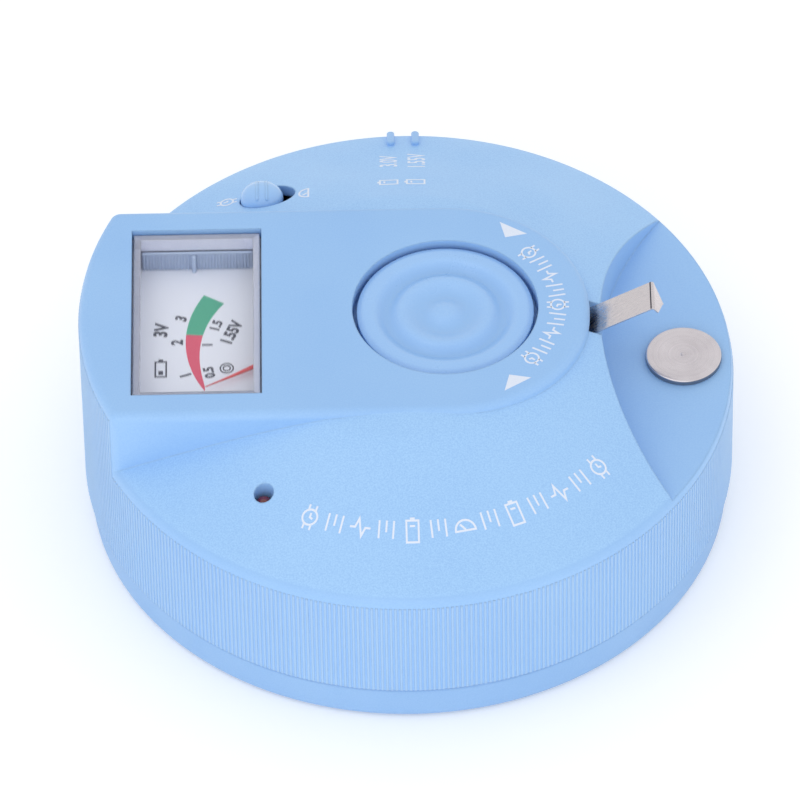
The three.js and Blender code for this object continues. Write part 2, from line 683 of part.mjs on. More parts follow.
function modeKnob() {
  const low = MODE_BODY_TOP + SEAT;
  const shoulder = coneHeight(Math.hypot(MODE_X, MODE_Y)) - 0.4;
  const rise = 2.4;
  const dome = new THREE.SphereGeometry(1, 24, 16);
  dome.rotateX(Math.PI / 2);
  dome.scale(MODE_KNOB[0], MODE_KNOB[1], rise);
  dome.translate(MODE_REST_X, MODE_Y, shoulder);
  const column = raised(oval(...MODE_KNOB, MODE_REST_X, MODE_Y), low + 0.6, shoulder, 0, 12);
  const stem = post(1.6, low, low + 1.2, MODE_REST_X, MODE_Y, COARSE);
  const ridges = [-0.8, 0.8].map((off) =>
    box(MODE_REST_X + off - 0.22, MODE_REST_X + off + 0.22, MODE_Y - 2.3, MODE_Y + 1.9, shoulder, shoulder + rise + 0.05),
  );
  return joined(column, solid(dome), stem, ...ridges);
}

// ---- range slider in the rear wall ----
const RANGE_REST_X = -RANGE_TRAVEL / 2;
const RANGE_FACE_Y = BODY_R - 0.7;
const RANGE_BODY_Y = INNER_R - 2.4;

function rangeSwitch() {
  const block = box(-8, 8, RANGE_BODY_Y - 5.5, RANGE_BODY_Y, RANGE_Z - 4.5, RANGE_Z + 4.5);
  const pins = [-1, 0, 1].map((i) =>
    box(i * 4 - 0.3, i * 4 + 0.3, RANGE_BODY_Y - 8.5, RANGE_BODY_Y - 5, RANGE_Z - 0.3, RANGE_Z + 0.3),
  );
  return joined(block, ...pins);
}

function rangeKnob() {
  const [wide, tall] = RANGE_KNOB;
  const grip = box(
    RANGE_REST_X - wide / 2,
    RANGE_REST_X + wide / 2,
    INNER_R - 1.2,
    RANGE_FACE_Y,
    RANGE_Z - tall / 2,
    RANGE_Z + tall / 2,
  );
  const stem = box(RANGE_REST_X - 1, RANGE_REST_X + 1, RANGE_BODY_Y + SEAT, INNER_R, RANGE_Z - 1, RANGE_Z + 1);
  return grip.add(stem);
}

// ---- contacts ----
function contactDisc() {
  const top = Z_RECESS + DISC_PROUD;
  const low = Z_RECESS + SEAT;
  return turned(
    [
      [0, Z_RECESS - WALL - 4.4],
      [STUD_HOLE_R - GAP, Z_RECESS - WALL - 4.4],
      [STUD_HOLE_R - GAP, low],
      [DISC_R, low],
      [DISC_R - 0.1, top - 0.25],
      [DISC_R - 0.4, top],
      [0, top],
    ],
    DISC_X,
    0,
    MID,
  );
}

function discNut() {
  const hexagon = post(4, Z_RECESS - WALL - 3.6, Z_RECESS - WALL - SEAT, DISC_X, 0, 6);
  return hexagon.subtract(post(STUD_HOLE_R, Z_RECESS - WALL - 5, Z_RECESS, DISC_X, 0, COARSE));
}

function stripAnchor() {
  const half = STRIP_THICK / 2;
  const [left, bend] = ANCHOR_X;
  const end = STRIP_HINGE_X - GAP;
  const made = sideCut(
    [
      [left, ANCHOR_Z - half],
      [bend, ANCHOR_Z - half],
      [end, stripZ(end) - half],
      [end, stripZ(end) + half],
      [bend, ANCHOR_Z + half],
      [left, ANCHOR_Z + half],
    ],
    STRIP_WIDE / 2,
  );
  return made.subtract(post(0.9 + GAP, ANCHOR_Z - 2, ANCHOR_Z + 2, ANCHOR_SCREW_X, 0, 12));
}

function anchorScrew() {
  const under = ANCHOR_Z - STRIP_THICK / 2 - SEAT;
  return turned(
    [
      [0, under - 1.2],
      [1.7, under - 1.2],
      [1.9, under],
      [0.9, under],
      [0.9, ANCHOR_Z + 3.4],
      [0, ANCHOR_Z + 3.4],
    ],
    ANCHOR_SCREW_X,
    0,
    COARSE,
  );
}

function contactStrip() {
  const half = STRIP_THICK / 2;
  const start = STRIP_HINGE_X;
  const blade = sideCut(
    [
      [start, stripZ(start) - half],
      [STRIP_FOLD_X, STRIP_FOLD_Z - half],
      [STRIP_FOLD_X + 0.12, STRIP_FOLD_Z],
      [STRIP_FOLD_X, STRIP_FOLD_Z + half],
      [start, stripZ(start) + half],
    ],
    STRIP_WIDE / 2,
  );
  // The end tab is snipped to a lopsided point.
  const tab = new THREE.Shape(
    [
      [0, -STRIP_WIDE / 2],
      [0, STRIP_WIDE / 2],
      [TAB_LONG, -0.15],
      [TAB_LONG * 0.4, -STRIP_WIDE / 2 + 0.1],
    ].map(([along, across]) => new THREE.Vector2(along, across)),
  );
  const flap = new THREE.ExtrudeGeometry(tab, { depth: STRIP_THICK, bevelEnabled: false });
  flap.translate(-0.15, 0, -half);
  flap.rotateY(TAB_DROP * DEG);
  flap.translate(STRIP_FOLD_X, 0, STRIP_FOLD_Z);
  return blade.add(solid(flap));
}

// ---- meter ----
const YOKE_R = [7.6, 8.8];
const METER_X = [WINDOW_X[0] - METER_WALL, PIVOT_X + YOKE_R[1] + METER_WALL + GAP];
const METER_HALF = WINDOW_HALF + 0.4;
const METER_SPLIT = Z_DIAL - 1.4; // top of the meter base, foot of the clear cover
const METER_LOW = Z_BATTERY_TOP + 1.6;
const WINDOW_TOP = Z_TOP - 0.5;

// Three steps: up in the window, under the tongue's ceiling, and low where the pad's well is.
function meterCover() {
  const [x0, x1] = METER_X;
  const highX1 = WELL_EDGE - GAP;
  const steps = [
    [x0, x1, METER_HALF, WELL_LOW - GAP],
    [x0, highX1, METER_HALF, Z_CEILING],
    [WINDOW_X[0] + GAP, WINDOW_X[1] - GAP, WINDOW_HALF - GAP, WINDOW_TOP],
  ];
  const shell = steps.map(([a, b, half, top]) => box(a, b, -half, half, METER_SPLIT + SEAT, top));
  const wall = METER_WALL;
  const hollow = steps.map(([a, b, half, top]) =>
    box(a + wall, b - wall, -half + wall, half - wall, METER_SPLIT - 1, top - wall),
  );
  return joined(...shell).subtract(joined(...hollow));
}

function meterBase() {
  const [x0, x1] = METER_X;
  const tray = box(x0, x1, -METER_HALF, METER_HALF, METER_LOW, METER_SPLIT);
  const wall = METER_WALL;
  const inside = box(x0 + wall, x1 - wall, -METER_HALF + wall, METER_HALF - wall, METER_LOW + wall, METER_SPLIT + 1);
  let made = tray.subtract(inside);
  for (const y of [-1, 1]) {
    made = made.subtract(post(1.5 + GAP, METER_LOW - 1, METER_LOW + 3, TERMINAL_X, y * TERMINAL_Y, SMALL));
    for (const x of [WINDOW_X[0] + 3, WINDOW_X[1]]) {
      made = made.add(post(1.5, METER_LOW + 0.5, Z_DIAL - PLATE_THICK - SEAT, x, y * (WINDOW_HALF - 3), SMALL));
    }
  }
  return made;
}

const PLATE_THICK = 0.5;
const TERMINAL_X = WINDOW_X[0] + 7;
const TERMINAL_Y = 9;
const YOKE_Z = [METER_LOW + METER_WALL + SEAT, Z_DIAL - 3.2];
const NEEDLE_Z = Z_DIAL + 1;
const FRAME_HALF = 6.4;
const FRAME_Z = [YOKE_Z[0] + 1.2, YOKE_Z[1] + 0.6];
const STAFF_R = 0.5;

const scalePlate = () =>
  box(
    WINDOW_X[0] + METER_WALL,
    WINDOW_X[1] + 2.5,
    -METER_HALF + METER_WALL + GAP,
    METER_HALF - METER_WALL - GAP,
    Z_DIAL - PLATE_THICK,
    Z_DIAL,
  );

function terminal(y) {
  return turned(
    [
      [0, METER_LOW - 1.4],
      [1.5, METER_LOW - 1.4],
      [1.5, METER_LOW + METER_WALL + SEAT],
      [2.6, METER_LOW + METER_WALL + SEAT],
      [2.6, METER_LOW + METER_WALL + 1.8],
      [0, METER_LOW + METER_WALL + 1.8],
    ],
    TERMINAL_X,
    y,
    12,
  );
}

const yoke = () => ring(...YOKE_R, ...YOKE_Z, PIVOT_X, 0, 24);

// The magnet core sits inside the coil and is held to the yoke by a lug on each side.
function coreMagnet() {
  const z = [FRAME_Z[0] + 1.9, FRAME_Z[1] - 1.9];
  const mid = (z[0] + z[1]) / 2;
  const lugs = box(PIVOT_X - YOKE_R[0] + GAP, PIVOT_X + YOKE_R[0] - GAP, -0.9, 0.9, mid - 1, mid + 1);
  return post(4.5, ...z, PIVOT_X, 0, 24).add(lugs);
}

// The coil frame stands across the rest position and swings with the needle.
function coilFrame() {
  const outer = box(-1.1, 1.1, -FRAME_HALF, FRAME_HALF, ...FRAME_Z);
  const inner = box(-2, 2, -FRAME_HALF + 1.2, FRAME_HALF - 1.2, FRAME_Z[0] + 1.2, FRAME_Z[1] - 1.2);
  return outer.subtract(inner).translate([PIVOT_X, 0, 0]);
}

const lowerStaff = () => post(STAFF_R, YOKE_Z[0], FRAME_Z[0] - SEAT, PIVOT_X, 0, 12);
const upperStaff = () => post(STAFF_R, FRAME_Z[1] + SEAT, NEEDLE_Z + 1.6, PIVOT_X, 0, 12);

function needle() {
  const shape = new THREE.Shape();
  shape.moveTo(-NEEDLE_REACH, 0);
  shape.quadraticCurveTo(-NEEDLE_REACH * 0.6, -0.55, -2, -0.7);
  shape.lineTo(3, -0.9);
  shape.lineTo(3, 0.9);
  shape.lineTo(-2, 0.7);
  shape.quadraticCurveTo(-NEEDLE_REACH * 0.6, 0.55, -NEEDLE_REACH, 0);
  const blade = raised(shape, NEEDLE_Z - 0.2, NEEDLE_Z + 0.2, 0, 8);
  const hub = post(2, NEEDLE_Z - 0.6, NEEDLE_Z + 0.6, 0, 0, COARSE);
  return blade
    .add(hub)
    .subtract(post(STAFF_R + SEAT, NEEDLE_Z - 2, NEEDLE_Z + 2, 0, 0, 12))
    .rotate([0, 0, NEEDLE_REST])
    .translate([PIVOT_X, 0, 0]);
}

const hairspring = () => ring(1, 2.8, NEEDLE_Z - 1.3, NEEDLE_Z - 1, PIVOT_X, 0, COARSE);

// A bridge over the needle's hub carries the upper bearing.
function bridge() {
  const z = NEEDLE_Z + 1.7;
  const y = YOKE_R[1] + GAP + 2.4;
  const beam = box(PIVOT_X - 1.6, PIVOT_X + 1.6, -y, y, z, z + 1);
  const legs = [-1, 1].map((side) => post(1.2, METER_LOW + METER_WALL + SEAT, z + 0.5, PIVOT_X, side * (y - 1.2), 12));
  return joined(beam, ...legs);
}

// ---- assembly ----
const tester = new THREE.Group();

function place(name, made, material) {
  const mesh = new THREE.Mesh(geometryOf(made), material);
  mesh.name = name;
  tester.add(mesh);
}

place("top_case", topCase(), blue);
place("base_cover", baseCover(), blue);
place("battery_door", batteryDoor(), blue);
place("watch_pad", pad(), padBlue);
place("battery_9v", battery(), batteryWrap);
place("battery_snap", batterySnap(), black);
place("pcb", board(), green);
place("ic_chip", chip(COIL_EDGE + 8.6, 12), black);
place("capacitor_large", can(3.5, 7.4, ...onRing(BOARD_R - 4.5, -33)), black);
place("capacitor_small", can(2.6, 6.6, ...onRing(BOARD_R - 10.6, -39.4)), black);
[4.1, 7.6, 11.1].forEach((off, i) => place(`resistor_${i + 1}`, resistor(COIL_EDGE + off, -9), tan));
place("trimmer", trimmer(COIL_EDGE - 4.4, -25), white);
place("buzzer", buzzer(PAD_X + 3.2, 25), black);
place("coil_bobbin", bobbin(), white);
place("coil_winding", winding(), copper);
place("coil_core", core(), ferrite);
place("lamp", lamp(), darkRed);
place("mode_switch", modeSwitch(), steel);
place("mode_knob", modeKnob(), blue);
place("range_switch", rangeSwitch(), steel);
place("range_knob", rangeKnob(), black);
place("contact_disc", contactDisc(), nickel);
place("disc_nut", discNut(), brass);
place("contact_strip", contactStrip(), nickel);
place("strip_anchor", stripAnchor(), nickel);
place("anchor_screw", anchorScrew(), steel);
place("meter_cover", meterCover(), clear);
place("meter_base", meterBase(), white);
place("scale_plate", scalePlate(), white);
place("meter_terminal_1", terminal(-TERMINAL_Y), brass);
place("meter_terminal_2", terminal(TERMINAL_Y), brass);
place("meter_yoke", yoke(), steel);
place("core_magnet", coreMagnet(), ferrite);
place("moving_coil", coilFrame(), copper);
place("lower_staff", lowerStaff(), steel);
place("upper_staff", upperStaff(), steel);
place("needle", needle(), red);
place("hairspring", hairspring(), brass);
place("meter_bridge", bridge(), brass);
footPlaces.forEach(([x, y], i) =>
  place(`foot_${i + 1}`, post(FOOT_R, Z_BASE - FOOT_PROUD, Z_BASE + 1.5 - SEAT, x, y, COARSE), rubber),
);
screwPlaces.forEach(([x, y], i) => {
  const under = Z_BASE + 3.4 - SEAT;
  const screw = turned(
    [
      [0, under - 2],
      [HEAD_R, under - 1.2],
      [HEAD_R, under],
      [SHANK_R, under],
      [SHANK_R, POST_LOW + SCREW_GRIP - 1],
      [0, POST_LOW + SCREW_GRIP],
    ],
    x,
    y,
    COARSE,
  );
  place(`case_screw_${i + 1}`, screw, steel);
});
const snapBack = SNAP_Y + SNAP_THICK + GAP + LEAD_R;
place(
  "lead_red",
  lead([
    [STUD_X[1], snapBack, STUD_Z + 1],
    [STUD_X[1] + 1, snapBack + 1.2, STUD_Z + 4],
    [BAY_X[1], BAY_Y[1] - 1, Z_BATTERY_TOP - 0.5],
    [BOARD_X + 2, 25, BOARD_TOP + 3],
    [BOARD_X + 5, 21, ON_BOARD + LEAD_R],
  ]),
  red,
);
place(
  "lead_black",
  lead([
    [STUD_X[0], snapBack, STUD_Z + 1],
    [STUD_X[0] + 3, snapBack + 1.4, STUD_Z + 6],
    [BATTERY_X, BAY_Y[1], Z_BATTERY_TOP],
    [BOARD_X - 1, BAY_Y[1] + 1, Z_BATTERY_TOP + 1.5],
    [BOARD_X + 5, 30, ON_BOARD + LEAD_R + 0.4],
  ]),
  black,
);

export default tester;
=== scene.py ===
"""Looks of a round watch and battery tester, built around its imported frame.

Sizes are written in millimetres and turned into metres where a mesh is made. The frame is the part's
own: the origin on the standing surface at the middle of the round body, +X from the meter to the contact
disc, +Y to the back, +Z up.
"""

import logging
import math
from contextlib import contextmanager
from dataclasses import dataclass
from enum import Enum
from typing import Callable, Iterator, Sequence

import bmesh
import bpy
from mathutils import Matrix, Vector


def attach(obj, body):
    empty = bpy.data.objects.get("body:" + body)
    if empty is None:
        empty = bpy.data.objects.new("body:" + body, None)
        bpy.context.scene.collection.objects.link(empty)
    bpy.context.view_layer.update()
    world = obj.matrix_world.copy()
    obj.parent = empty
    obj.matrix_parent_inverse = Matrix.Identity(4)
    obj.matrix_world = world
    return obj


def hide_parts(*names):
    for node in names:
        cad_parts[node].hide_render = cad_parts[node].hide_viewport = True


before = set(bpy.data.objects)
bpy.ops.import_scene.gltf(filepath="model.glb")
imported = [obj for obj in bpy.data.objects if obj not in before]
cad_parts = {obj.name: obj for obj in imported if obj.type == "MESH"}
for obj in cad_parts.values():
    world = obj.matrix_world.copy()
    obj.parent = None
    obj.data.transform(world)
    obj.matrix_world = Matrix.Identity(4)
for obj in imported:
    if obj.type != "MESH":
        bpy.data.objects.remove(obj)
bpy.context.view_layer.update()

log = logging.getLogger("tester")

MM = 0.001
PRINT_PROUD = 0.045
PRINT_SUNK = 0.03
LEVEL = (1.0, 1.0, 0.0)
Point = tuple[float, float]
Point3 = tuple[float, float, float]
Colour = tuple[int, int, int]
Piece = bpy.types.Object
Node = bpy.types.Node
Socket = bpy.types.NodeSocket
Rule = Callable[[Vector], Vector]


class Body(Enum):
    """The moving bodies of the tester."""

    CASE = "case"
    DOOR = "door"
    MODE = "mode_slider"
    RANGE = "range_slider"
    STRIP = "strip"
    POINTER = "pointer"


class Cut(Enum):
    """How one solid is combined with another."""

    JOIN = "UNION"
    REMOVE = "DIFFERENCE"
    KEEP = "INTERSECT"


# ---- bench: small modelling steps shared by the sub-assemblies ----


def deselect() -> None:
    """Leave no object selected."""
    for other in bpy.context.selected_objects:
        other.select_set(False)


def pick(piece: Piece) -> None:
    """Select one object alone and make it active."""
    deselect()
    bpy.context.view_layer.objects.active = piece
    piece.select_set(True)


@contextmanager
def editing(piece: Piece, everything: bool = True) -> Iterator[None]:
    """Hold a piece in edit mode.

    Args:
        piece: The mesh object to edit.
        everything: Whether its whole mesh starts selected, or none of it.
    """
    pick(piece)
    bpy.ops.object.mode_set(mode="EDIT")
    bpy.ops.mesh.select_all(action="SELECT" if everything else "DESELECT")
    yield
    bpy.ops.object.mode_set(mode="OBJECT")


def ring_of(name: str, points: Sequence[Point3], filled: bool) -> Piece:
    """Lay a closed ring of points.

    Args:
        name: Name of the new object.
        points: Places of the ring's points, in millimetres.
        filled: Whether the ring is closed with a face.

    Returns:
        The new mesh object.
    """
    deselect()
    fill = "NGON" if filled else "NOTHING"
    bpy.ops.mesh.primitive_circle_add(vertices=len(points), radius=1.0, fill_type=fill)
    piece = bpy.context.object
    piece.name = name
    piece.data.name = name
    for vertex, point in zip(piece.data.vertices, points):
        vertex.co = Vector(point) * MM
    return piece


def turned(name: str, profile: Sequence[Point], steps: int, centre: Point = (0.0, 0.0)) -> Piece:
    """Spin a closed profile about an upright axis.

    Args:
        name: Name of the new object.
        profile: Radius and height of each point, going once round the section.
        steps: Number of sides.
        centre: Place of the axis.

    Returns:
        A closed solid with its faces outwards.
    """
    piece = ring_of(name, [(centre[0] + r, centre[1], z) for r, z in profile], filled=False)
    with editing(piece):
        axis_foot = (centre[0] * MM, centre[1] * MM, 0)
        bpy.ops.mesh.spin(steps=steps, angle=2 * math.pi, center=axis_foot, axis=(0, 0, 1))
        bpy.ops.mesh.select_all(action="SELECT")
        bpy.ops.mesh.remove_doubles(threshold=0.001 * MM)
        bpy.ops.mesh.normals_make_consistent(inside=False)
    return piece


def pushed(name: str, ring: Sequence[Point3], push: Point3) -> Piece:
    """Push a flat outline along a direction into a closed solid.

    Args:
        name: Name of the new object.
        ring: The outline's points.
        push: How far each of them is carried.

    Returns:
        The closed solid.
    """
    piece = ring_of(name, ring, filled=True)
    with editing(piece):
        bpy.ops.mesh.extrude_region_move(TRANSFORM_OT_translate={"value": tuple(v * MM for v in push)})
        bpy.ops.mesh.select_all(action="SELECT")
        bpy.ops.mesh.normals_make_consistent(inside=False)
    return piece


def slab(name: str, outline: Sequence[Point], low: float, high: float) -> Piece:
    """Raise a flat outline in X and Y from one height to another."""
    return pushed(name, [(x, y, low) for x, y in outline], (0, 0, high - low))


def block(name: str, low: Point3, high: Point3, ease: float = 0.0, segments: int = 2) -> Piece:
    """Make a rectangular block with eased edges.

    Args:
        name: Name of the new object.
        low: Lowest corner.
        high: Highest corner.
        ease: Width of the bevel on all its edges.
        segments: Steps across that bevel.

    Returns:
        The block.
    """
    outline = [(low[0], low[1]), (high[0], low[1]), (high[0], high[1]), (low[0], high[1])]
    piece = slab(name, outline, low[2], high[2])
    if ease:
        with editing(piece):
            bpy.ops.mesh.bevel(offset=ease * MM, segments=segments, affect="EDGES", clamp_overlap=True)
    return piece


def combine(piece: Piece, tool: Piece, how: Cut) -> Piece:
    """Combine a solid with another, which is used up.

    Args:
        piece: The solid that stays.
        tool: The solid that is joined, removed or kept common.
        how: Which of these.

    Returns:
        The solid that stays.
    """
    pick(piece)
    modifier = piece.modifiers.new("combine", "BOOLEAN")
    modifier.operation = how.value
    modifier.object = tool
    modifier.solver = "MANIFOLD"
    bpy.ops.object.modifier_apply(modifier=modifier.name)
    bpy.data.objects.remove(tool)
    return piece


def merged(name: str, pieces: Sequence[Piece]) -> Piece:
    """Join separate meshes into one object.

    Args:
        name: Name of the joined object.
        pieces: The meshes.

    Returns:
        The joined object.
    """
    pick(pieces[0])
    for other in pieces[1:]:
        other.select_set(True)
    if len(pieces) > 1:
        bpy.ops.object.join()
    pieces[0].name = name
    pieces[0].data.name = name
    return pieces[0]


def soften(
    piece: Piece,
    width: float,
    segments: int,
    sharp: float = 24.0,
    where: Callable[[Vector, Vector], bool] = lambda a, b: True,
) -> None:
    """Bevel the sharp edges of a solid that are in a chosen place.

    Args:
        piece: The solid.
        width: Width of the bevel.
        segments: Steps across it.
        sharp: Smallest turn between two faces that counts, in degrees.
        where: Says for an edge's two ends, in millimetres, whether it is wanted.
    """
    with editing(piece):
        bpy.ops.mesh.remove_doubles(threshold=0.03 * MM)
        bpy.ops.mesh.dissolve_degenerate(threshold=0.02 * MM)
        bpy.context.tool_settings.mesh_select_mode = (False, True, False)
        bpy.ops.mesh.select_all(action="DESELECT")
        mesh = bmesh.from_edit_mesh(piece.data)
        for edge in mesh.edges:
            ends = [vertex.co / MM for vertex in edge.verts]
            turn = edge.calc_face_angle(0.0) if edge.is_manifold else 0.0
            edge.select = turn > math.radians(sharp) and where(*ends)
        bmesh.update_edit_mesh(piece.data)
        bpy.ops.mesh.bevel(offset=width * MM, segments=segments, affect="EDGES", clamp_overlap=True)


def smooth(piece: Piece, angle: float = 30.0) -> Piece:
    """Shade a piece smooth, except over edges sharper than an angle in degrees."""
    pick(piece)
    bpy.ops.object.shade_smooth_by_angle(angle=math.radians(angle))
    return piece


def bent(piece: Piece, place: Rule) -> Piece:
    """Move each vertex of a piece to the place that a rule gives, in millimetres."""
    for vertex in piece.data.vertices:
        vertex.co = place(vertex.co / MM) * MM
    return piece


def copies_round(piece: Piece, count: int, degrees: float, centre: Point = (0.0, 0.0)) -> None:
    """Repeat a mesh about an upright axis.

    Args:
        piece: The mesh, which stays as the first of them.
        count: How many there are in all.
        degrees: Turn from one to the next.
        centre: Place of the axis.
    """
    with editing(piece):
        bpy.ops.mesh.spin(
            steps=count - 1,
            angle=math.radians(degrees) * (count - 1),
            center=(centre[0] * MM, centre[1] * MM, 0),
            axis=(0, 0, -1),
            dupli=True,
        )


def copies_along(piece: Piece, count: int, step: Point3) -> None:
    """Repeat a mesh in a straight row with an applied array.

    Args:
        piece: The mesh, which stays as the first of them.
        count: How many there are in all.
        step: From one to the next.
    """
    pick(piece)
    array = piece.modifiers.new("row", "ARRAY")
    array.count = count
    array.use_relative_offset = False
    array.use_constant_offset = True
    array.constant_offset_displace = Vector(step) * MM
    bpy.ops.object.modifier_apply(modifier=array.name)


def curve(start: Point, corner: Point, end: Point, steps: int) -> list[Point]:
    """Points of a rounded corner, from start to end."""
    points = []
    for i in range(steps + 1):
        t = i / steps
        weights = ((1 - t) ** 2, 2 * t * (1 - t), t * t)
        points.append(tuple(sum(w * p[k] for w, p in zip(weights, (start, corner, end))) for k in (0, 1)))
    return points


def circle(
    radius: float, sides: int, centre: Point = (0.0, 0.0), radius_y: float | None = None
) -> list[Point]:
    """Points of a circle, or of an oval when a second radius is given."""
    tall = radius if radius_y is None else radius_y
    turns = [2 * math.pi * i / sides for i in range(sides)]
    return [(centre[0] + radius * math.cos(a), centre[1] + tall * math.sin(a)) for a in turns]


def arc(radius: float, start: float, end: float, steps: int, centre: Point = (0.0, 0.0)) -> list[Point]:
    """Points of an arc between two angles in degrees."""
    turns = [math.radians(start + (end - start) * i / steps) for i in range(steps + 1)]
    return [(centre[0] + radius * math.cos(a), centre[1] + radius * math.sin(a)) for a in turns]


# ---- shader groups ----


class Shader:
    """A node tree that is filled step by step."""

    def __init__(self, tree: bpy.types.NodeTree) -> None:
        """Hold the tree that new nodes go into."""
        self.tree = tree

    def link(self, source: Socket, target: Socket) -> None:
        """Lead one socket into another."""
        self.tree.links.new(source, target)

    def place(self) -> Socket:
        """The piece's own coordinates."""
        return self.node("TexCoord").outputs["Object"]

    def vector(self, operation: str, *values: object, output: str = "Vector") -> Socket:
        """Result of an arithmetic step on vectors."""
        return self.node("VectorMath", dict(enumerate(values)), operation=operation).outputs[output]

    def node(
        self, kind: str, inputs: dict[str | int, object] | None = None, **settings: object
    ) -> Node:
        """Add a node.

        Args:
            kind: The node's type without the words ShaderNode.
            inputs: A value, or the output socket to link, for each input by name or number.
            settings: The node's own properties.

        Returns:
            The new node.
        """
        made = self.tree.nodes.new("ShaderNode" + kind)
        for key, value in settings.items():
            setattr(made, key, value)
        for key, value in (inputs or {}).items():
            if isinstance(value, Socket):
                self.link(value, made.inputs[key])
            else:
                made.inputs[key].default_value = value
        return made

    def maths(self, operation: str, *values: object) -> Socket:
        """Result of an arithmetic step on values or sockets."""
        return self.node("Math", dict(enumerate(values)), operation=operation).outputs[0]

    def spread(
        self, value: object, low: float, high: float, to_low: float = 0.0, to_high: float = 1.0
    ) -> Socket:
        """Carry a value from one range to another, held at its ends."""
        numbers = {"Value": value, "From Min": low, "From Max": high, "To Min": to_low, "To Max": to_high}
        return self.node("MapRange", numbers).outputs["Result"]

    def blend(self, share: object, first: object, second: object) -> Socket:
        """Mix two colours by a share from 0 to 1."""
        mix = self.node("Mix", {0: share, 6: first, 7: second}, data_type="RGBA")
        return mix.outputs[2]

    def noise(self, where: object, scale: float, detail: float = 2.0, rough: float = 0.5) -> Socket:
        """Value of a noise pattern at a place."""
        numbers = {"Vector": where, "Scale": scale, "Detail": detail, "Roughness": rough}
        return self.node("TexNoise", numbers).outputs[0]


def new_group(name: str, inputs: dict[str, float], outputs: Sequence[str]) -> Shader:
    """Open a shader group with named number sockets.

    Args:
        name: Name of the group.
        inputs: Each input and its usual value.
        outputs: Names of the values it gives.

    Returns:
        The group's tree, with an input and an output node in it.
    """
    tree = bpy.data.node_groups.new(name, "ShaderNodeTree")
    for label, value in inputs.items():
        socket = tree.interface.new_socket(label, in_out="INPUT", socket_type="NodeSocketFloat")
        socket.default_value = value
    for label in outputs:
        kind = "NodeSocketVector" if label == "Rounded" else "NodeSocketFloat"
        tree.interface.new_socket(label, in_out="OUTPUT", socket_type=kind)
    tree.nodes.new("NodeGroupInput").name = "in"
    tree.nodes.new("NodeGroupOutput").name = "out"
    return Shader(tree)


class Texture(Enum):
    """The surface texture groups, each built once."""

    GRAIN = "fine_grain"
    BRUSHED = "brushed_lines"
    TURNED = "turning_marks"
    HANDLED = "handling_marks"


def build_groups() -> None:
    """Build every surface texture group."""
    grain = new_group(Texture.GRAIN.value, {"Size": 0.3, "Cloud": 20.0}, ["Height", "Mottle"])
    take, give = grain.tree.nodes["in"], grain.tree.nodes["out"]
    where = grain.place()
    fine = grain.maths("DIVIDE", 1 / MM, take.outputs["Size"])
    broad = grain.maths("DIVIDE", 1 / MM, take.outputs["Cloud"])
    pits = grain.noise(where, fine, 3.0, 0.6)
    grain.link(pits, give.inputs["Height"])
    mottle = grain.spread(grain.noise(where, broad, 3.0), 0.3, 0.7)
    grain.link(mottle, give.inputs["Mottle"])

    ways = {"Across": 0.08, "Along X": 0.0, "Along Y": 1.0, "Along Z": 0.0}
    brushed = new_group(Texture.BRUSHED.value, ways, ["Height", "Streak"])
    take, give = brushed.tree.nodes["in"], brushed.tree.nodes["out"]
    where = brushed.place()
    full = brushed.maths("DIVIDE", 1 / MM, take.outputs["Across"])
    squeeze = [
        brushed.maths("MULTIPLY", full, brushed.spread(take.outputs[f"Along {axis}"], 0, 1, 1, 0.02))
        for axis in "XYZ"
    ]
    stretch = brushed.node("CombineXYZ", dict(enumerate(squeeze))).outputs[0]
    lines = brushed.vector("MULTIPLY", where, stretch)
    streak = brushed.noise(lines, 1.0, 2.0)
    brushed.link(streak, give.inputs["Height"])
    brushed.link(brushed.spread(streak, 0.35, 0.65, 0.0, 1.0), give.inputs["Streak"])

    about = {"Centre X": 0.0, "Centre Y": 0.0, "Pitch": 0.2}
    lathe = new_group(Texture.TURNED.value, about, ["Height", "Streak"])
    take, give = lathe.tree.nodes["in"], lathe.tree.nodes["out"]
    where = lathe.place()
    middle = lathe.node("CombineXYZ", {0: take.outputs["Centre X"], 1: take.outputs["Centre Y"]}).outputs[0]
    flat = lathe.vector("MULTIPLY", lathe.vector("SUBTRACT", where, middle), LEVEL)
    reach = lathe.vector("LENGTH", flat, output="Value")
    rings = lathe.maths("DIVIDE", lathe.maths("DIVIDE", reach, MM), take.outputs["Pitch"])
    row = lathe.node("CombineXYZ", {0: rings}).outputs[0]
    wave = lathe.noise(row, 1.0, 3.0, 0.7)
    lathe.link(wave, give.inputs["Height"])
    lathe.link(lathe.spread(wave, 0.3, 0.7, 0.0, 1.0), give.inputs["Streak"])

    handled = new_group(Texture.HANDLED.value, {"Size": 6.0, "Amount": 0.5}, ["Scuff", "Edge", "Rounded"])
    take, give = handled.tree.nodes["in"], handled.tree.nodes["out"]
    where = handled.place()
    scale = handled.maths("DIVIDE", 1 / MM, take.outputs["Size"])
    patch = handled.spread(handled.noise(where, scale, 4.0, 0.6), 0.5, 0.72, 0.0, 1.0)
    hairs = handled.noise(where, handled.maths("MULTIPLY", scale, 14.0), 1.0)
    hairs = handled.spread(hairs, 0.55, 0.7)
    scuff = handled.maths("MULTIPLY", handled.maths("MULTIPLY", patch, hairs), take.outputs["Amount"])
    handled.link(scuff, give.inputs["Scuff"])
    # a bevel mask picks out the edges, which are paled: wear and a painted edge highlight
    eased = handled.node("Bevel", {"Radius": 0.5 * MM}, samples=4).outputs[0]
    true = handled.node("NewGeometry").outputs["Normal"]
    facing = handled.vector("DOT_PRODUCT", eased, true, output="Value")
    edge = handled.spread(facing, 0.995, 0.9, 0.0, 1.0)
    handled.link(handled.maths("MULTIPLY", edge, take.outputs["Amount"]), give.inputs["Edge"])
    handled.link(eased, give.inputs["Rounded"])


# ---- finishes ----


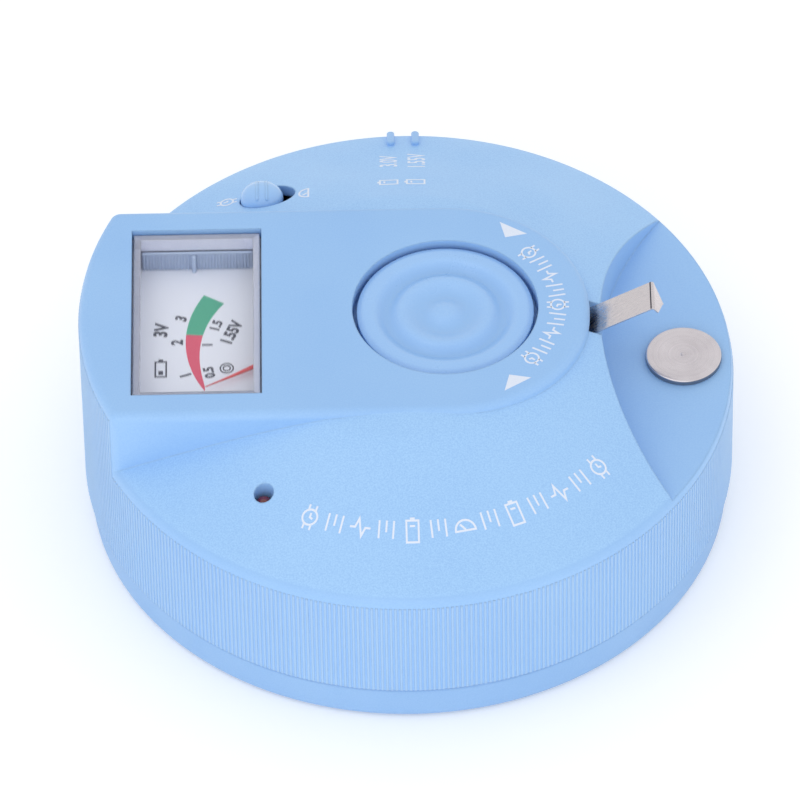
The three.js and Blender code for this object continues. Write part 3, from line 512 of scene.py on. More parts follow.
def linear(colour: Colour) -> tuple[float, float, float, float]:
    """Turn a screen colour from 0 to 255 into the shader's linear one."""
    parts = [c / 255 for c in colour]
    return (*[p / 12.92 if p <= 0.04045 else ((p + 0.055) / 1.055) ** 2.4 for p in parts], 1.0)


@dataclass(frozen=True)
class Finish:
    """What every finish has: a name, the record's slot and its two colours."""

    name: str
    slot: str
    colour: Colour
    shade: Colour
    rough: float = 0.5

    def start(self) -> tuple[Shader, Node, bpy.types.Material]:
        """Open a material.

        Returns:
            Its shader tree, its principled node, and the material itself.
        """
        material = bpy.data.materials.new(self.name)
        material.use_nodes = True
        shader = Shader(material.node_tree)
        principled = material.node_tree.nodes["Principled BSDF"]
        principled.inputs["Roughness"].default_value = self.rough
        return shader, principled, material

    def texture(self, shader: Shader, kind: Texture, **inputs: float) -> Node:
        """Place one of the texture groups with its own values."""
        placed = shader.node("Group", node_tree=bpy.data.node_groups[kind.value])
        for label, value in inputs.items():
            placed.inputs[label.replace("_", " ")].default_value = value
        return placed

    def relief(
        self,
        shader: Shader,
        principled: Node,
        height: object,
        depth: float,
        strength: float,
        under: object | None = None,
    ) -> None:
        """Feed a height through a bump, over an optional normal, into the principled node."""
        bump = shader.node("Bump", {"Height": height, "Distance": depth * MM, "Strength": strength})
        if under is not None:
            shader.link(under, bump.inputs["Normal"])
        shader.link(bump.outputs[0], principled.inputs["Normal"])

    def build(self) -> bpy.types.Material:
        """Make the material; each kind of finish has its own way."""
        raise NotImplementedError

    def material(self) -> bpy.types.Material:
        """The finish's material, made when it is first asked for."""
        return bpy.data.materials.get(self.name) or self.build()


@dataclass(frozen=True)
class Moulded(Finish):
    """Moulded plastic or rubber with a fine spark grain, soft mottling, light handling and paler edges that
    are wear and a painted highlight; optionally a painted sheen on the cone and painted shade in grooves.
    """

    grain: float = 0.28
    depth: float = 0.03
    strength: float = 0.35
    cloud: float = 22.0
    swing: float = 0.1
    # amount of scuffing, and of paler edges that are wear and a painted edge highlight
    wear_and_edge_sheen: float = 0.35
    speck: float = 0.35
    # strength of a painted sheen that pales the sloping cone
    painted_slope_sheen: float = 0.0
    # heights between which the pad's grooves are darkened towards a colour: painted shade
    hollow: Point | None = None
    painted_groove_shade: Colour = (0, 0, 0)
    coat: float = 0.0
    sheen: float = 0.0

    def build(self) -> bpy.types.Material:
        """Make the plastic's material."""
        shader, principled, material = self.start()
        grain = self.texture(shader, Texture.GRAIN, Size=self.grain, Cloud=self.cloud)
        marks = self.texture(shader, Texture.HANDLED, Size=7.0, Amount=self.wear_and_edge_sheen)
        speck = shader.spread(grain.outputs["Height"], 0.4, 0.62, 0.0, self.speck)
        share = shader.maths("ADD", shader.maths("MULTIPLY", grain.outputs["Mottle"], 0.55), speck)
        body = shader.blend(share, linear(self.colour), linear(self.shade))
        # a paler tint for the worn edges and the painted sheen
        pale = tuple(min(1.0, c * 1.16 + 0.02) for c in linear(self.colour)[:3])
        # darker low in the pad's grooves: painted shade
        if self.hollow:
            height = shader.node("SeparateXYZ", {0: shader.place()}).outputs["Z"]
            groove_shade_share = shader.spread(height, self.hollow[0] * MM, self.hollow[1] * MM, 1.0, 0.0)
            body = shader.blend(groove_shade_share, body, linear(self.painted_groove_shade))
        # cone paled towards a lighter tint: a painted sheen
        if self.painted_slope_sheen:
            body = shader.blend(self.slope_sheen_share(shader, grain.outputs["Height"]), body, (*pale, 1.0))
        # edges paled: wear and a painted edge highlight
        worn_and_sheen_edges = shader.blend(shader.maths("MULTIPLY", marks.outputs["Edge"], 0.8), body, (*pale, 1.0))
        shader.link(worn_and_sheen_edges, principled.inputs["Base Color"])
        low, high = self.rough - self.swing, self.rough + self.swing
        dull = shader.spread(grain.outputs["Mottle"], 0.0, 1.0, low, high)
        rubbed = shader.maths("SUBTRACT", dull, shader.maths("MULTIPLY", marks.outputs["Scuff"], 0.15))
        shader.link(rubbed, principled.inputs["Roughness"])
        rounded = marks.outputs["Rounded"]
        self.relief(shader, principled, grain.outputs["Height"], self.depth, self.strength, rounded)
        principled.inputs["IOR"].default_value = 1.49
        principled.inputs["Coat Weight"].default_value = self.coat
        principled.inputs["Coat Roughness"].default_value = 0.12
        principled.inputs["Sheen Weight"].default_value = self.sheen
        return material

    def slope_sheen_share(self, shader: Shader, height: object) -> Socket:
        """Share of the painted sheen on the conical top: the cone is paled where its grain would catch the
        light.
        """
        where = shader.place()
        flat_mm = shader.vector("MULTIPLY", where, (1 / MM, 1 / MM, 0.0))
        reach = shader.vector("LENGTH", flat_mm, output="Value")
        height_mm = shader.maths("DIVIDE", shader.node("SeparateXYZ", {0: where}).outputs["Z"], MM)
        cone = shader.maths("MULTIPLY_ADD", reach, -SHAPE.slope, SHAPE.rim + SHAPE.slope * SHAPE.radius)
        fall = SHAPE.crown_slope
        crown = shader.maths("MULTIPLY_ADD", reach, -fall, SHAPE.cone_top[1] + fall * SHAPE.cone_top[0])
        off = shader.maths("SUBTRACT", height_mm, shader.maths("MINIMUM", cone, crown))
        on_it = shader.spread(shader.maths("ABSOLUTE", off), 0.02, 0.16, self.painted_slope_sheen, 0.0)
        true = shader.node("NewGeometry").outputs["True Normal"]
        upright = shader.node("SeparateXYZ", {0: true}).outputs["Z"]
        leaning = shader.spread(upright, 0.975, 0.99, 1.0, 0.0)
        sparkle = shader.spread(height, 0.35, 0.62, 1.0, 0.25)
        return shader.maths("MULTIPLY", shader.maths("MULTIPLY", on_it, leaning), sparkle)


@dataclass(frozen=True)
class Metal(Finish):
    """Metal with brushed lines, or turning marks about a centre, and optionally a painted dark reflection
    past a radius.
    """

    along: Point3 = (0.0, 1.0, 0.0)
    pitch: float = 0.08
    depth: float = 0.004
    centre: Point | None = None
    swing: float = 0.1
    # past this radius the disc's side is painted darker: a painted dark reflection
    rim: float = 0.0  # radius past which the metal takes the rim's shade
    painted_rim_shade: Colour = (140, 141, 150)

    def build(self) -> bpy.types.Material:
        """Make the metal's material."""
        shader, principled, material = self.start()
        if self.centre:
            place = {"Centre_X": self.centre[0] * MM, "Centre_Y": self.centre[1] * MM, "Pitch": self.pitch}
            lines = self.texture(shader, Texture.TURNED, **place)
        else:
            ways = {f"Along_{axis}": way for axis, way in zip("XYZ", self.along)}
            lines = self.texture(shader, Texture.BRUSHED, Across=self.pitch, **ways)
        cloud = self.texture(shader, Texture.GRAIN, Size=0.6, Cloud=4.0)
        share = shader.maths(
            "ADD",
            shader.maths("MULTIPLY", lines.outputs["Streak"], 0.6),
            shader.maths("MULTIPLY", cloud.outputs["Mottle"], 0.4),
        )
        body = shader.blend(share, linear(self.colour), linear(self.shade))
        # past the rim radius the colour is darkened: painted dark reflection on the side
        if self.rim and self.centre:
            middle = (self.centre[0] * MM, self.centre[1] * MM, 0.0)
            flat = shader.vector("MULTIPLY", shader.vector("SUBTRACT", shader.place(), middle), LEVEL)
            reach = shader.vector("LENGTH", flat, output="Value")
            painted_rim_share = shader.spread(reach, (self.rim - 0.02) * MM, (self.rim + 0.01) * MM)
            body = shader.blend(painted_rim_share, body, linear(self.painted_rim_shade))
        shader.link(body, principled.inputs["Base Color"])
        low, high = max(0.05, self.rough - self.swing), self.rough + self.swing
        dull = shader.spread(lines.outputs["Streak"], 0.0, 1.0, low, high)
        shader.link(dull, principled.inputs["Roughness"])
        self.relief(shader, principled, lines.outputs["Height"], self.depth, 0.6)
        principled.inputs["Metallic"].default_value = 1.0
        return material


@dataclass(frozen=True)
class Clear(Finish):
    """Clear moulded plastic with the faintest ripple, which hardly bends what is seen through it."""

    body: float = 0.3

    def build(self) -> bpy.types.Material:
        """Make the clear plastic's material."""
        shader, principled, material = self.start()
        grain = self.texture(shader, Texture.GRAIN, Size=5.0, Cloud=12.0)
        body = shader.blend(grain.outputs["Mottle"], linear(self.colour), linear(self.shade))
        shader.link(body, principled.inputs["Base Color"])
        dull = shader.spread(grain.outputs["Mottle"], 0.0, 1.0, self.rough, self.rough + 0.03)
        shader.link(dull, principled.inputs["Roughness"])
        self.relief(shader, principled, grain.outputs["Height"], 0.02, 0.12)
        principled.inputs["IOR"].default_value = 1.02
        principled.inputs["Coat Weight"].default_value = 1.0
        principled.inputs["Coat Roughness"].default_value = 0.03
        principled.inputs["Transmission Weight"].default_value = 1.0
        principled.inputs["Alpha"].default_value = self.body
        return material


@dataclass(frozen=True)
class Ink(Finish):
    """Printed ink, a little uneven where it was pressed on."""

    def build(self) -> bpy.types.Material:
        """Make the ink's material."""
        shader, principled, material = self.start()
        grain = self.texture(shader, Texture.GRAIN, Size=0.12, Cloud=1.6)
        share = shader.spread(grain.outputs["Height"], 0.35, 0.7, 0.0, 1.0)
        body = shader.blend(share, linear(self.colour), linear(self.shade))
        shader.link(body, principled.inputs["Base Color"])
        self.relief(shader, principled, grain.outputs["Height"], 0.01, 0.2)
        return material


@dataclass(frozen=True)
class Banded(Finish):
    """Wound wire or coloured rings: stripes across one direction."""

    across: Point3 = (0.0, 0.0, 1.0)
    pitch: float = 0.3
    metallic: float = 0.0
    sharp: float = 0.5

    def build(self) -> bpy.types.Material:
        """Make the striped material."""
        shader, principled, material = self.start()
        where = shader.place()
        along = shader.vector("DOT_PRODUCT", where, self.across, output="Value")
        turns = shader.maths("DIVIDE", along, self.pitch * MM / (2 * math.pi))
        wave = shader.spread(shader.maths("SINE", turns), -self.sharp, self.sharp, 0.0, 1.0)
        grain = self.texture(shader, Texture.GRAIN, Size=0.4, Cloud=6.0)
        share = shader.maths("MULTIPLY", wave, shader.spread(grain.outputs["Mottle"], 0.0, 1.0, 0.7, 1.0))
        body = shader.blend(share, linear(self.colour), linear(self.shade))
        shader.link(body, principled.inputs["Base Color"])
        dull = shader.spread(grain.outputs["Mottle"], 0.0, 1.0, self.rough - 0.08, self.rough + 0.08)
        shader.link(dull, principled.inputs["Roughness"])
        self.relief(shader, principled, wave, 0.04, 0.5)
        principled.inputs["Metallic"].default_value = self.metallic
        return material


CASE_BLUE = Moulded(
    # its cone is paled by the painted sheen
    "case_blue_plastic", "case_blue", (156, 198, 243), (148, 191, 240), 0.46, strength=0.6, speck=0.6,
    painted_slope_sheen=0.6,
)
KNOB_BLUE = Moulded(
    "knob_blue_plastic", "case_blue", (163, 204, 248), (156, 198, 245), 0.26, strength=0.06,
    swing=0.05, coat=0.4,
)
BASE_BLUE = Moulded(
    "base_blue_plastic", "case_blue", (149, 189, 233), (141, 182, 229), 0.48, strength=0.6, speck=0.6,
)
# its grooves are darkened by height: painted shade
PAD_BLUE = Moulded(
    "pad_blue_plastic", "pad_blue", (160, 201, 247), (152, 194, 243), 0.3, grain=0.3, strength=0.3,
    swing=0.06, speck=0.5, hollow=(42.3, 43.6), painted_groove_shade=(147, 190, 238,
)
)
BLACK_PLASTIC = Moulded(
    "black_plastic_mould", "black_plastic", (40, 42, 47), (30, 32, 36), 0.48, strength=0.5,
)
WHITE_PLASTIC = Moulded(
    "white_plastic_mould", "white_plastic", (226, 229, 236), (214, 217, 226), 0.5,
)
BOARD_GREEN = Moulded(
    "board_green_lacquer", "board_green", (34, 110, 74), (24, 88, 60), 0.35, grain=0.9, cloud=3.0,
    coat=0.4,
)
FERRITE = Moulded(
    "ferrite_grey", "ferrite", (62, 64, 70), (50, 52, 57), 0.75, grain=0.2, strength=0.7,
)
RUBBER = Moulded(
    "foot_rubber", "rubber", (52, 54, 58), (42, 43, 47), 0.82, grain=0.25, strength=0.6, sheen=0.2,
)
LAMP_RED = Moulded(
    "lamp_red_resin", "lamp_red", (128, 22, 36), (104, 14, 28), 0.12, strength=0.02, swing=0.03,
    coat=1.0, wear_and_edge_sheen=0.0,
)
BATTERY_WRAP = Moulded(
    "battery_wrap_film", "battery_wrap", (46, 50, 60), (38, 41, 50), 0.3, grain=1.5, strength=0.1,
    coat=0.5,
)
LEAD_RED = Moulded(
    "lead_red_vinyl", "lead_red", (196, 52, 60), (176, 40, 50), 0.42, strength=0.1, wear_and_edge_sheen=0.0,
)
LEAD_BLACK = Moulded(
    "lead_black_vinyl", "lead_black", (38, 38, 42), (28, 28, 32), 0.42, strength=0.1, wear_and_edge_sheen=0.0,
)
NEEDLE_RED = Moulded(
    "needle_red_lacquer", "needle_red", (248, 104, 106), (242, 96, 100), 0.4, strength=0.05, wear_and_edge_sheen=0.0,
)
METER_GREY = Moulded(
    "meter_wall_grey", "clear_plastic", (192, 209, 236), (180, 198, 228), 0.38, strength=0.2,
    cloud=9.0, wear_and_edge_sheen=0.0,
)
METER_SHELL = Moulded(
    "meter_shell_pale", "clear_plastic", (226, 230, 246), (214, 220, 240), 0.22, strength=0.1,
    cloud=6.0, coat=0.5,
)
CARD_WHITE = Moulded(
    "dial_card_white", "dial_white", (244, 247, 255), (240, 244, 254), 0.55, grain=0.2, strength=0.1,
    wear_and_edge_sheen=0.0,
)
RESISTOR_TAN = Banded(
    "resistor_tan_bands", "resistor_tan", (206, 178, 134), (120, 74, 48), 0.45, (0, 1, 0), 1.9,
)
COPPER = Banded(
    "copper_winding", "copper", (186, 104, 58), (120, 58, 30), 0.34, (0, 0, 1), 0.32, metallic=1.0,
    sharp=1.0,
)
STEEL = Metal(
    "steel_pressing", "steel", (176, 179, 184), (160, 163, 169), 0.36, along=(1.0, 0.0, 0.0),
)
SCREW_STEEL = Metal(
    "screw_steel", "steel", (168, 170, 174), (146, 148, 153), 0.32, along=(0.0, 1.0, 0.0), pitch=0.12,
)
BRASS = Metal(
    "brass_turned", "brass", (204, 170, 98), (186, 150, 80), 0.3, along=(0.0, 0.0, 1.0),
)
STRIP_NICKEL = Metal(
    "strip_nickel", "nickel", (216, 210, 212), (208, 202, 205), 0.28, along=(1.0, 0.0, 0.0), pitch=0.4,
    depth=0.0006,
)
# its side is darkened past the rim: a painted dark reflection
DISC_NICKEL = Metal(
    "disc_nickel", "nickel", (228, 222, 226), (196, 190, 195), 0.3, centre=(48.65, 0.0), pitch=0.24,
    depth=0.012, rim=6.66,
)
CLEAR = Clear(
    "window_clear", "clear_plastic", (250, 251, 255), (246, 248, 254), 0.02,
)
BAND_BLUE = Moulded(
    "rib_blue_plastic", "case_blue", (172, 208, 246), (164, 201, 243), 0.4, strength=0.3, speck=0.4,
    wear_and_edge_sheen=0.2,
)
# a thin dark sheet laid on the strip's fold: painted shade
FOLD_SHADE_PAINT = Metal(
    "painted_fold_shade_nickel", "nickel", (74, 74, 84), (58, 58, 68), 0.5, along=(0.0, 1.0, 0.0),
)
INK_WHITE = Ink(
    "ink_white", "dial_white", (230, 237, 250), (216, 227, 246), 0.5,
)
INK_DARK = Ink(
    "ink_dark", "black_plastic", (66, 68, 84), (82, 84, 100), 0.55,
)
INK_GREEN = Ink(
    "ink_green", "board_green", (86, 184, 150), (80, 176, 144), 0.5,
)
INK_RED = Ink(
    "ink_red", "needle_red", (232, 98, 124), (226, 90, 116), 0.5,
)


def finished(
    piece: Piece, finish: Finish, body: Body, replaces: Sequence[str] = (), angle: float = 30.0
) -> Piece:
    """Dress a piece and mount it.

    Args:
        piece: The modelled mesh.
        finish: What it is made of.
        body: The body it moves with.
        replaces: CAD nodes that it stands for.
        angle: Sharpest turn that is shaded smooth, in degrees.

    Returns:
        The same piece.
    """
    smooth(piece, angle)
    piece.data.materials.clear()
    piece.data.materials.append(finish.material())
    for polygon in piece.data.polygons:
        polygon.material_index = 0
    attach(piece, body.value)
    if replaces:
        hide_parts(*replaces)
    log.info("%s: %d faces on %s", piece.name, len(piece.data.polygons), body.value)
    return piece


# ---- the case ----


@dataclass(frozen=True)
class Shape:
    """Sizes of the round body that several sub-assemblies share."""

    ground: float = 0.5
    seam: float = 7.7
    rim: float = 30.5
    top: float = 44.5
    radius: float = 57.5
    wall_radius: float = 57.3
    inner: float = 55.3
    wall: float = 2.2
    slope: float = 0.435
    rim_round: float = 1.4
    tongue_half: float = 25.3
    tongue_round: float = 1.6
    corner: float = 2.0
    pad_x: float = 6.85
    well: float = 16.3
    shelf: float = 40.5
    well_low: float = 39.0
    recess_x: float = 90.5
    recess_radius: float = 56.5
    recess: float = 30.3
    disc_x: float = 48.8
    lamp: Point = (-25.2, -36.2)
    cone_top: Point = (24.9, 43.9)
    cone_break: float = 29.0

    @property
    def crown_slope(self) -> float:
        """Slope of the cone's middle, close to the tongue."""
        return (self.cone_top[1] - self.cone(self.cone_break)) / (self.cone_break - self.cone_top[0])

    def cone(self, radius: float) -> float:
        """Height of the conical top at a radius, rounded over at the rim."""
        edge = self.wall_radius - self.rim_round
        if radius <= edge:
            return self.rim + self.slope * (self.radius - radius)
        share = min(1.0, (radius - edge) / self.rim_round)
        start = self.rim + self.slope * (self.radius - edge)
        return start - (start - self.rim + self.rim_round) * (1 - math.sqrt(1 - share * share))

    def on_cone(self, lift: float) -> Rule:
        """Rule that lays a flat shape on the cone, with Z as height above it."""
        return lambda p: Vector((p.x, p.y, self.cone(math.hypot(p.x, p.y)) + lift + p.z))

    def rim_curve(self, steps: int) -> list[Point]:
        """Points of the rounding between band and cone."""
        start = (self.wall_radius, self.rim - self.rim_round)
        inner = self.wall_radius - self.rim_round
        return curve(start, (self.wall_radius, self.rim + 0.1), (inner, self.cone(inner)), steps)


SHAPE = Shape()
SCREW_ANGLES = (60.0, 145.0, 215.0, 300.0)
SCREW_RING = 48.6
SCREW_PLACES = [arc(SCREW_RING, angle, angle, 1)[0] for angle in SCREW_ANGLES]
FOOT_PLACES = [(47.0, 0.0), (0.0, 47.0), (-47.0, 0.0), (0.0, -47.0)]
ABOVE = 60.0


@dataclass
class TopCase:
    """Ribbed upper half of the case: band, cone, tongue, contact recess and its openings."""

    steps: int = 288
    edge: float = 0.4
    window: tuple[float, float, float] = (-48.1, -25.3, 20.1)
    window_floor: float = 35.0
    slot_floor: float = 26.5
    lamp_floor: float = 28.0
    lamp_bore: float = 1.73
    knob_slot: tuple[float, float, float, float] = (-24.3, 35.9, 5.0, 3.85)
    notch: tuple[float, float, float, float, float] = (28.95, 35.0, 3.75, 36.2, 41.7)
    range_slot: tuple[float, float, float] = (4.5, 17.9, 23.1)
    rib_count: int = 440
    rib_half: float = 0.26
    rib_ends: tuple[float, float, float] = (7.95, 29.0, 42.9)

    def tongue_outline(self, half: float) -> list[Point]:
        """Outline of a tongue with straight sides and one round end, run out past the case."""
        return [(-62.0, -half), *arc(half, -90.0, 90.0, 64, (SHAPE.pad_x, 0.0)), (-62.0, half)]

    def tongue_plan(self) -> list[Point]:
        """Outline of the tongue flush with the band, with its two corners rounded."""
        s = SHAPE
        reach, side = s.wall_radius - s.corner, s.tongue_half - s.corner
        x = -math.sqrt(reach**2 - side**2)
        meet = math.degrees(math.atan2(side, x))
        pitch = 360 / self.steps
        ring = arc(s.tongue_half, -90.0, 90.0, 64, (s.pad_x, 0.0))
        ring += arc(s.corner, 90.0, meet, 8, (x, side))
        turns = [k * pitch for k in range(int(meet / pitch) + 1, int((360 - meet) / pitch) + 1)]
        ring += [arc(s.wall_radius, turn, turn, 1)[0] for turn in turns]
        return ring + arc(s.corner, 360 - meet, 270.0, 8, (x, -side))

    def outer(self) -> Piece:
        """Make the closed outer form with its blind openings, edges eased."""
        s = SHAPE
        radii = [s.wall_radius - s.rim_round - i * 2.3 for i in range(1, 14)]
        profile = [(0, s.seam), (s.wall_radius - 0.35, s.seam), (s.wall_radius, s.seam + 0.3)]
        profile += [(s.wall_radius, s.seam + 8), (s.wall_radius, s.seam + 15)]
        profile += s.rim_curve(6)
        profile += [(r, s.cone(r)) for r in radii if r > s.cone_break + 0.5]
        profile += [(s.cone_break, s.cone(s.cone_break)), s.cone_top, (0, s.cone_top[1])]
        made = turned("case_top", profile, self.steps)
        tongue = slab("tongue", self.tongue_plan(), s.rim - s.rim_round, s.top)
        with editing(tongue, everything=False):
            bpy.context.tool_settings.mesh_select_mode = (False, True, False)
            mesh = bmesh.from_edit_mesh(tongue.data)
            for edge in mesh.edges:
                edge.select = all(abs(v.co.z - s.top * MM) < 1e-6 for v in edge.verts)
            bmesh.update_edit_mesh(tongue.data)
            bpy.ops.mesh.bevel(offset=s.tongue_round * MM, segments=6, affect="EDGES", clamp_overlap=False)
        combine(made, tongue, Cut.JOIN)
        recess = circle(s.recess_radius, 720, (s.recess_x, 0.0))
        combine(made, slab("recess", recess, s.recess, ABOVE), Cut.REMOVE)
        left, right, half = self.window
        pane = [(left, -half), (right, -half), (right, half), (left, half)]
        outlines = {
            s.well_low: circle(s.well, 192, (s.pad_x, 0.0)),
            self.window_floor: pane,
            self.slot_floor: circle(self.knob_slot[2], 72, self.knob_slot[:2], self.knob_slot[3]),
            self.lamp_floor: circle(self.lamp_bore, 40, s.lamp),
        }
        for floor, outline in outlines.items():
            combine(made, slab("opening", outline, floor, ABOVE), Cut.REMOVE)

        def wanted(a: Vector, b: Vector) -> bool:
            """Edges above the rim that aren't the floor of an opening."""
            low = min(a.z, b.z)
            return low > 29 and all(abs(low - floor) > 0.1 for floor in outlines)

        soften(made, self.edge, 3, where=wanted)
        return made

    def cavity(self) -> Piece:
        """Make the hollow inside the case."""
        s = SHAPE
        drop = s.wall * math.hypot(1, s.slope)
        near = s.tongue_half + 0.7
        ceiling = s.top - s.wall
        under = [(0, 6.7), (s.inner, 6.7), (s.inner, s.rim + s.slope * 2.2 - drop)]
        under += [(near, s.cone(near) - drop), (0, s.cone(near) - drop)]
        made = turned("cavity", under, 144)
        hollow = self.tongue_outline(s.tongue_half - s.wall)
        combine(made, slab("under_tongue", hollow, 6.7, ceiling), Cut.JOIN)
        combine(made, slab("limit", circle(s.inner, 144), 6.7, ceiling), Cut.KEEP)
        grown = circle(s.recess_radius + s.wall, 360, (s.recess_x, 0.0))
        return combine(made, slab("recess", grown, s.recess - s.wall, 60), Cut.REMOVE)

    def build(self) -> None:
        """Make the case and its grip ribs."""
        s = SHAPE
        made = self.outer()
        combine(made, self.cavity(), Cut.REMOVE)
        well = [(12.7, s.well_low), (17.9, s.well_low), (17.9, 43.0)]
        well += [(16.34, 43.0), (16.34, s.shelf), (12.7, s.shelf)]
        combine(made, turned("well_ring", well, 96, (s.pad_x, 0.0)), Cut.JOIN)
        boss = block("strip_boss", (19.7, -4.2, 37.4), (26.1, 4.2, 42.6))
        combine(boss, slab("well", circle(s.well + 0.5, 96, (s.pad_x, 0.0)), 30, 60), Cut.REMOVE)
        combine(boss, slab("bore", circle(1.2, 24, (25.15, 0)), 30, 41), Cut.REMOVE)
        combine(made, boss, Cut.JOIN)
        sleeve = [(1.78, 29.2), (3, 29.2), (3, 35), (1.78, 35)]
        combine(made, turned("lamp_sleeve", sleeve, 40, s.lamp), Cut.JOIN)
        for place in SCREW_PLACES:
            post = [(1.5, 13), (3.4, 13), (3.4, 32.4), (0, 32.4), (0, 21.3), (1.5, 21.3)]
            combine(made, turned("post", post, 32, place), Cut.JOIN)
        half, low, high = self.range_slot
        near, far, side, sill, lintel = self.notch
        cuts = [
            block("range_slot", (-half, 50, low), (half, 60, high)),
            block("notch", (near, -side, sill), (far, side, lintel)),
            slab("stud_hole", circle(2.3, 32, (s.disc_x, 0)), 20, 40),
        ]
        for cut in cuts:
            combine(made, cut, Cut.REMOVE)

        def at_openings(a: Vector, b: Vector) -> bool:
            """Edges round the notch and the range slot on the outer faces."""
            foot, wide = min(a.z, b.z), max(abs(a.y), abs(b.y))
            at_slot = min(a.y, b.y) > 56.5 and abs(a.x) < half + 0.1 and low - 0.1 < foot < high + 0.1
            at_notch = min(a.x, b.x) > 33.2 and wide < 4.1 and 36 < foot < 42.2
            return at_slot or at_notch

        soften(made, 0.25, 2, 40.0, at_openings)
        finished(made, CASE_BLUE, Body.CASE, ["top_case"])
        self.ribs()
        self.index_ribs()

    def rib_rows(self, name: str, high: float, first: float, count: int) -> Piece:
        """Make one row of grip ribs.

        Args:
            name: Name of the row.
            high: Height of their upper ends.
            first: Angle of the first rib, in degrees.
            count: How many there are.

        Returns:
            The row as one mesh.
        """
        half, low = self.rib_half, self.rib_ends[0]
        inner, outer = SHAPE.wall_radius - 0.1, SHAPE.radius - 0.05
        section = [(inner, -half), (outer - 0.08, -half + 0.04), (outer, -half + 0.12)]
        section += [(r, -y) for r, y in reversed(section)]
        turn = Matrix.Rotation(math.radians(first), 3, "Z")
        ring = [tuple(turn @ Vector((r, y, low))) for r, y in section]
        rib = pushed(name, ring, (0, 0, high - low))
        wall = SHAPE.wall_radius - 0.1

        def sloped(point: Vector) -> Vector:
            """Lean the rib's ends back into the wall."""
            proud = point.to_2d().length - wall
            point.z += -proud * 1.6 if point.z > (low + high) / 2 else proud * 0.5
            return point

        bent(rib, sloped)
        copies_round(rib, count, 360 / self.rib_count)
        return rib

    def ribs(self) -> None:
        """Make the ribs round the band, left out beside the range slider and taller at the tongue's end."""
        pitch = 360 / self.rib_count
        low, band, tall = self.rib_ends
        gap = 7.0
        end = math.degrees(math.asin(24.7 / SHAPE.wall_radius))
        first = 90 + gap
        before = int((180 - end - first) / pitch) + 1
        tall_first = first + before * pitch
        tall_count = int((180 + end - tall_first) / pitch) + 1
        after_first = tall_first + tall_count * pitch
        after = int((450 - gap - after_first) / pitch) + 1
        rows = [
            self.rib_rows("grip_ribs", band, first, before),
            self.rib_rows("tall", tall, tall_first, tall_count),
            self.rib_rows("after", band, after_first, after),
        ]
        finished(merged("grip_ribs", rows), BAND_BLUE, Body.CASE)

    def index_ribs(self) -> None:
        """Make the two small ribs over the back rim."""
        near, far, half = 51.95, 57.2, 0.68
        over_rim = lambda p: p + Vector((0, 0, SHAPE.rim + SHAPE.slope * (SHAPE.radius - p.y)))
        made = []
        for x in (-2.2, 2.2):
            outline = arc(half, 0, 180, 12, (x, far - half)) + arc(half, 180, 360, 12, (x, near + half))
            rib = slab("index_rib", outline, -1.4, 0.9)
            soften(rib, 0.42, 4, 60.0, lambda a, b: min(a.z, b.z) > 0.8)
            made.append(bent(rib, over_rim))
        finished(merged("index_ribs", made), CASE_BLUE, Body.CASE, angle=60)


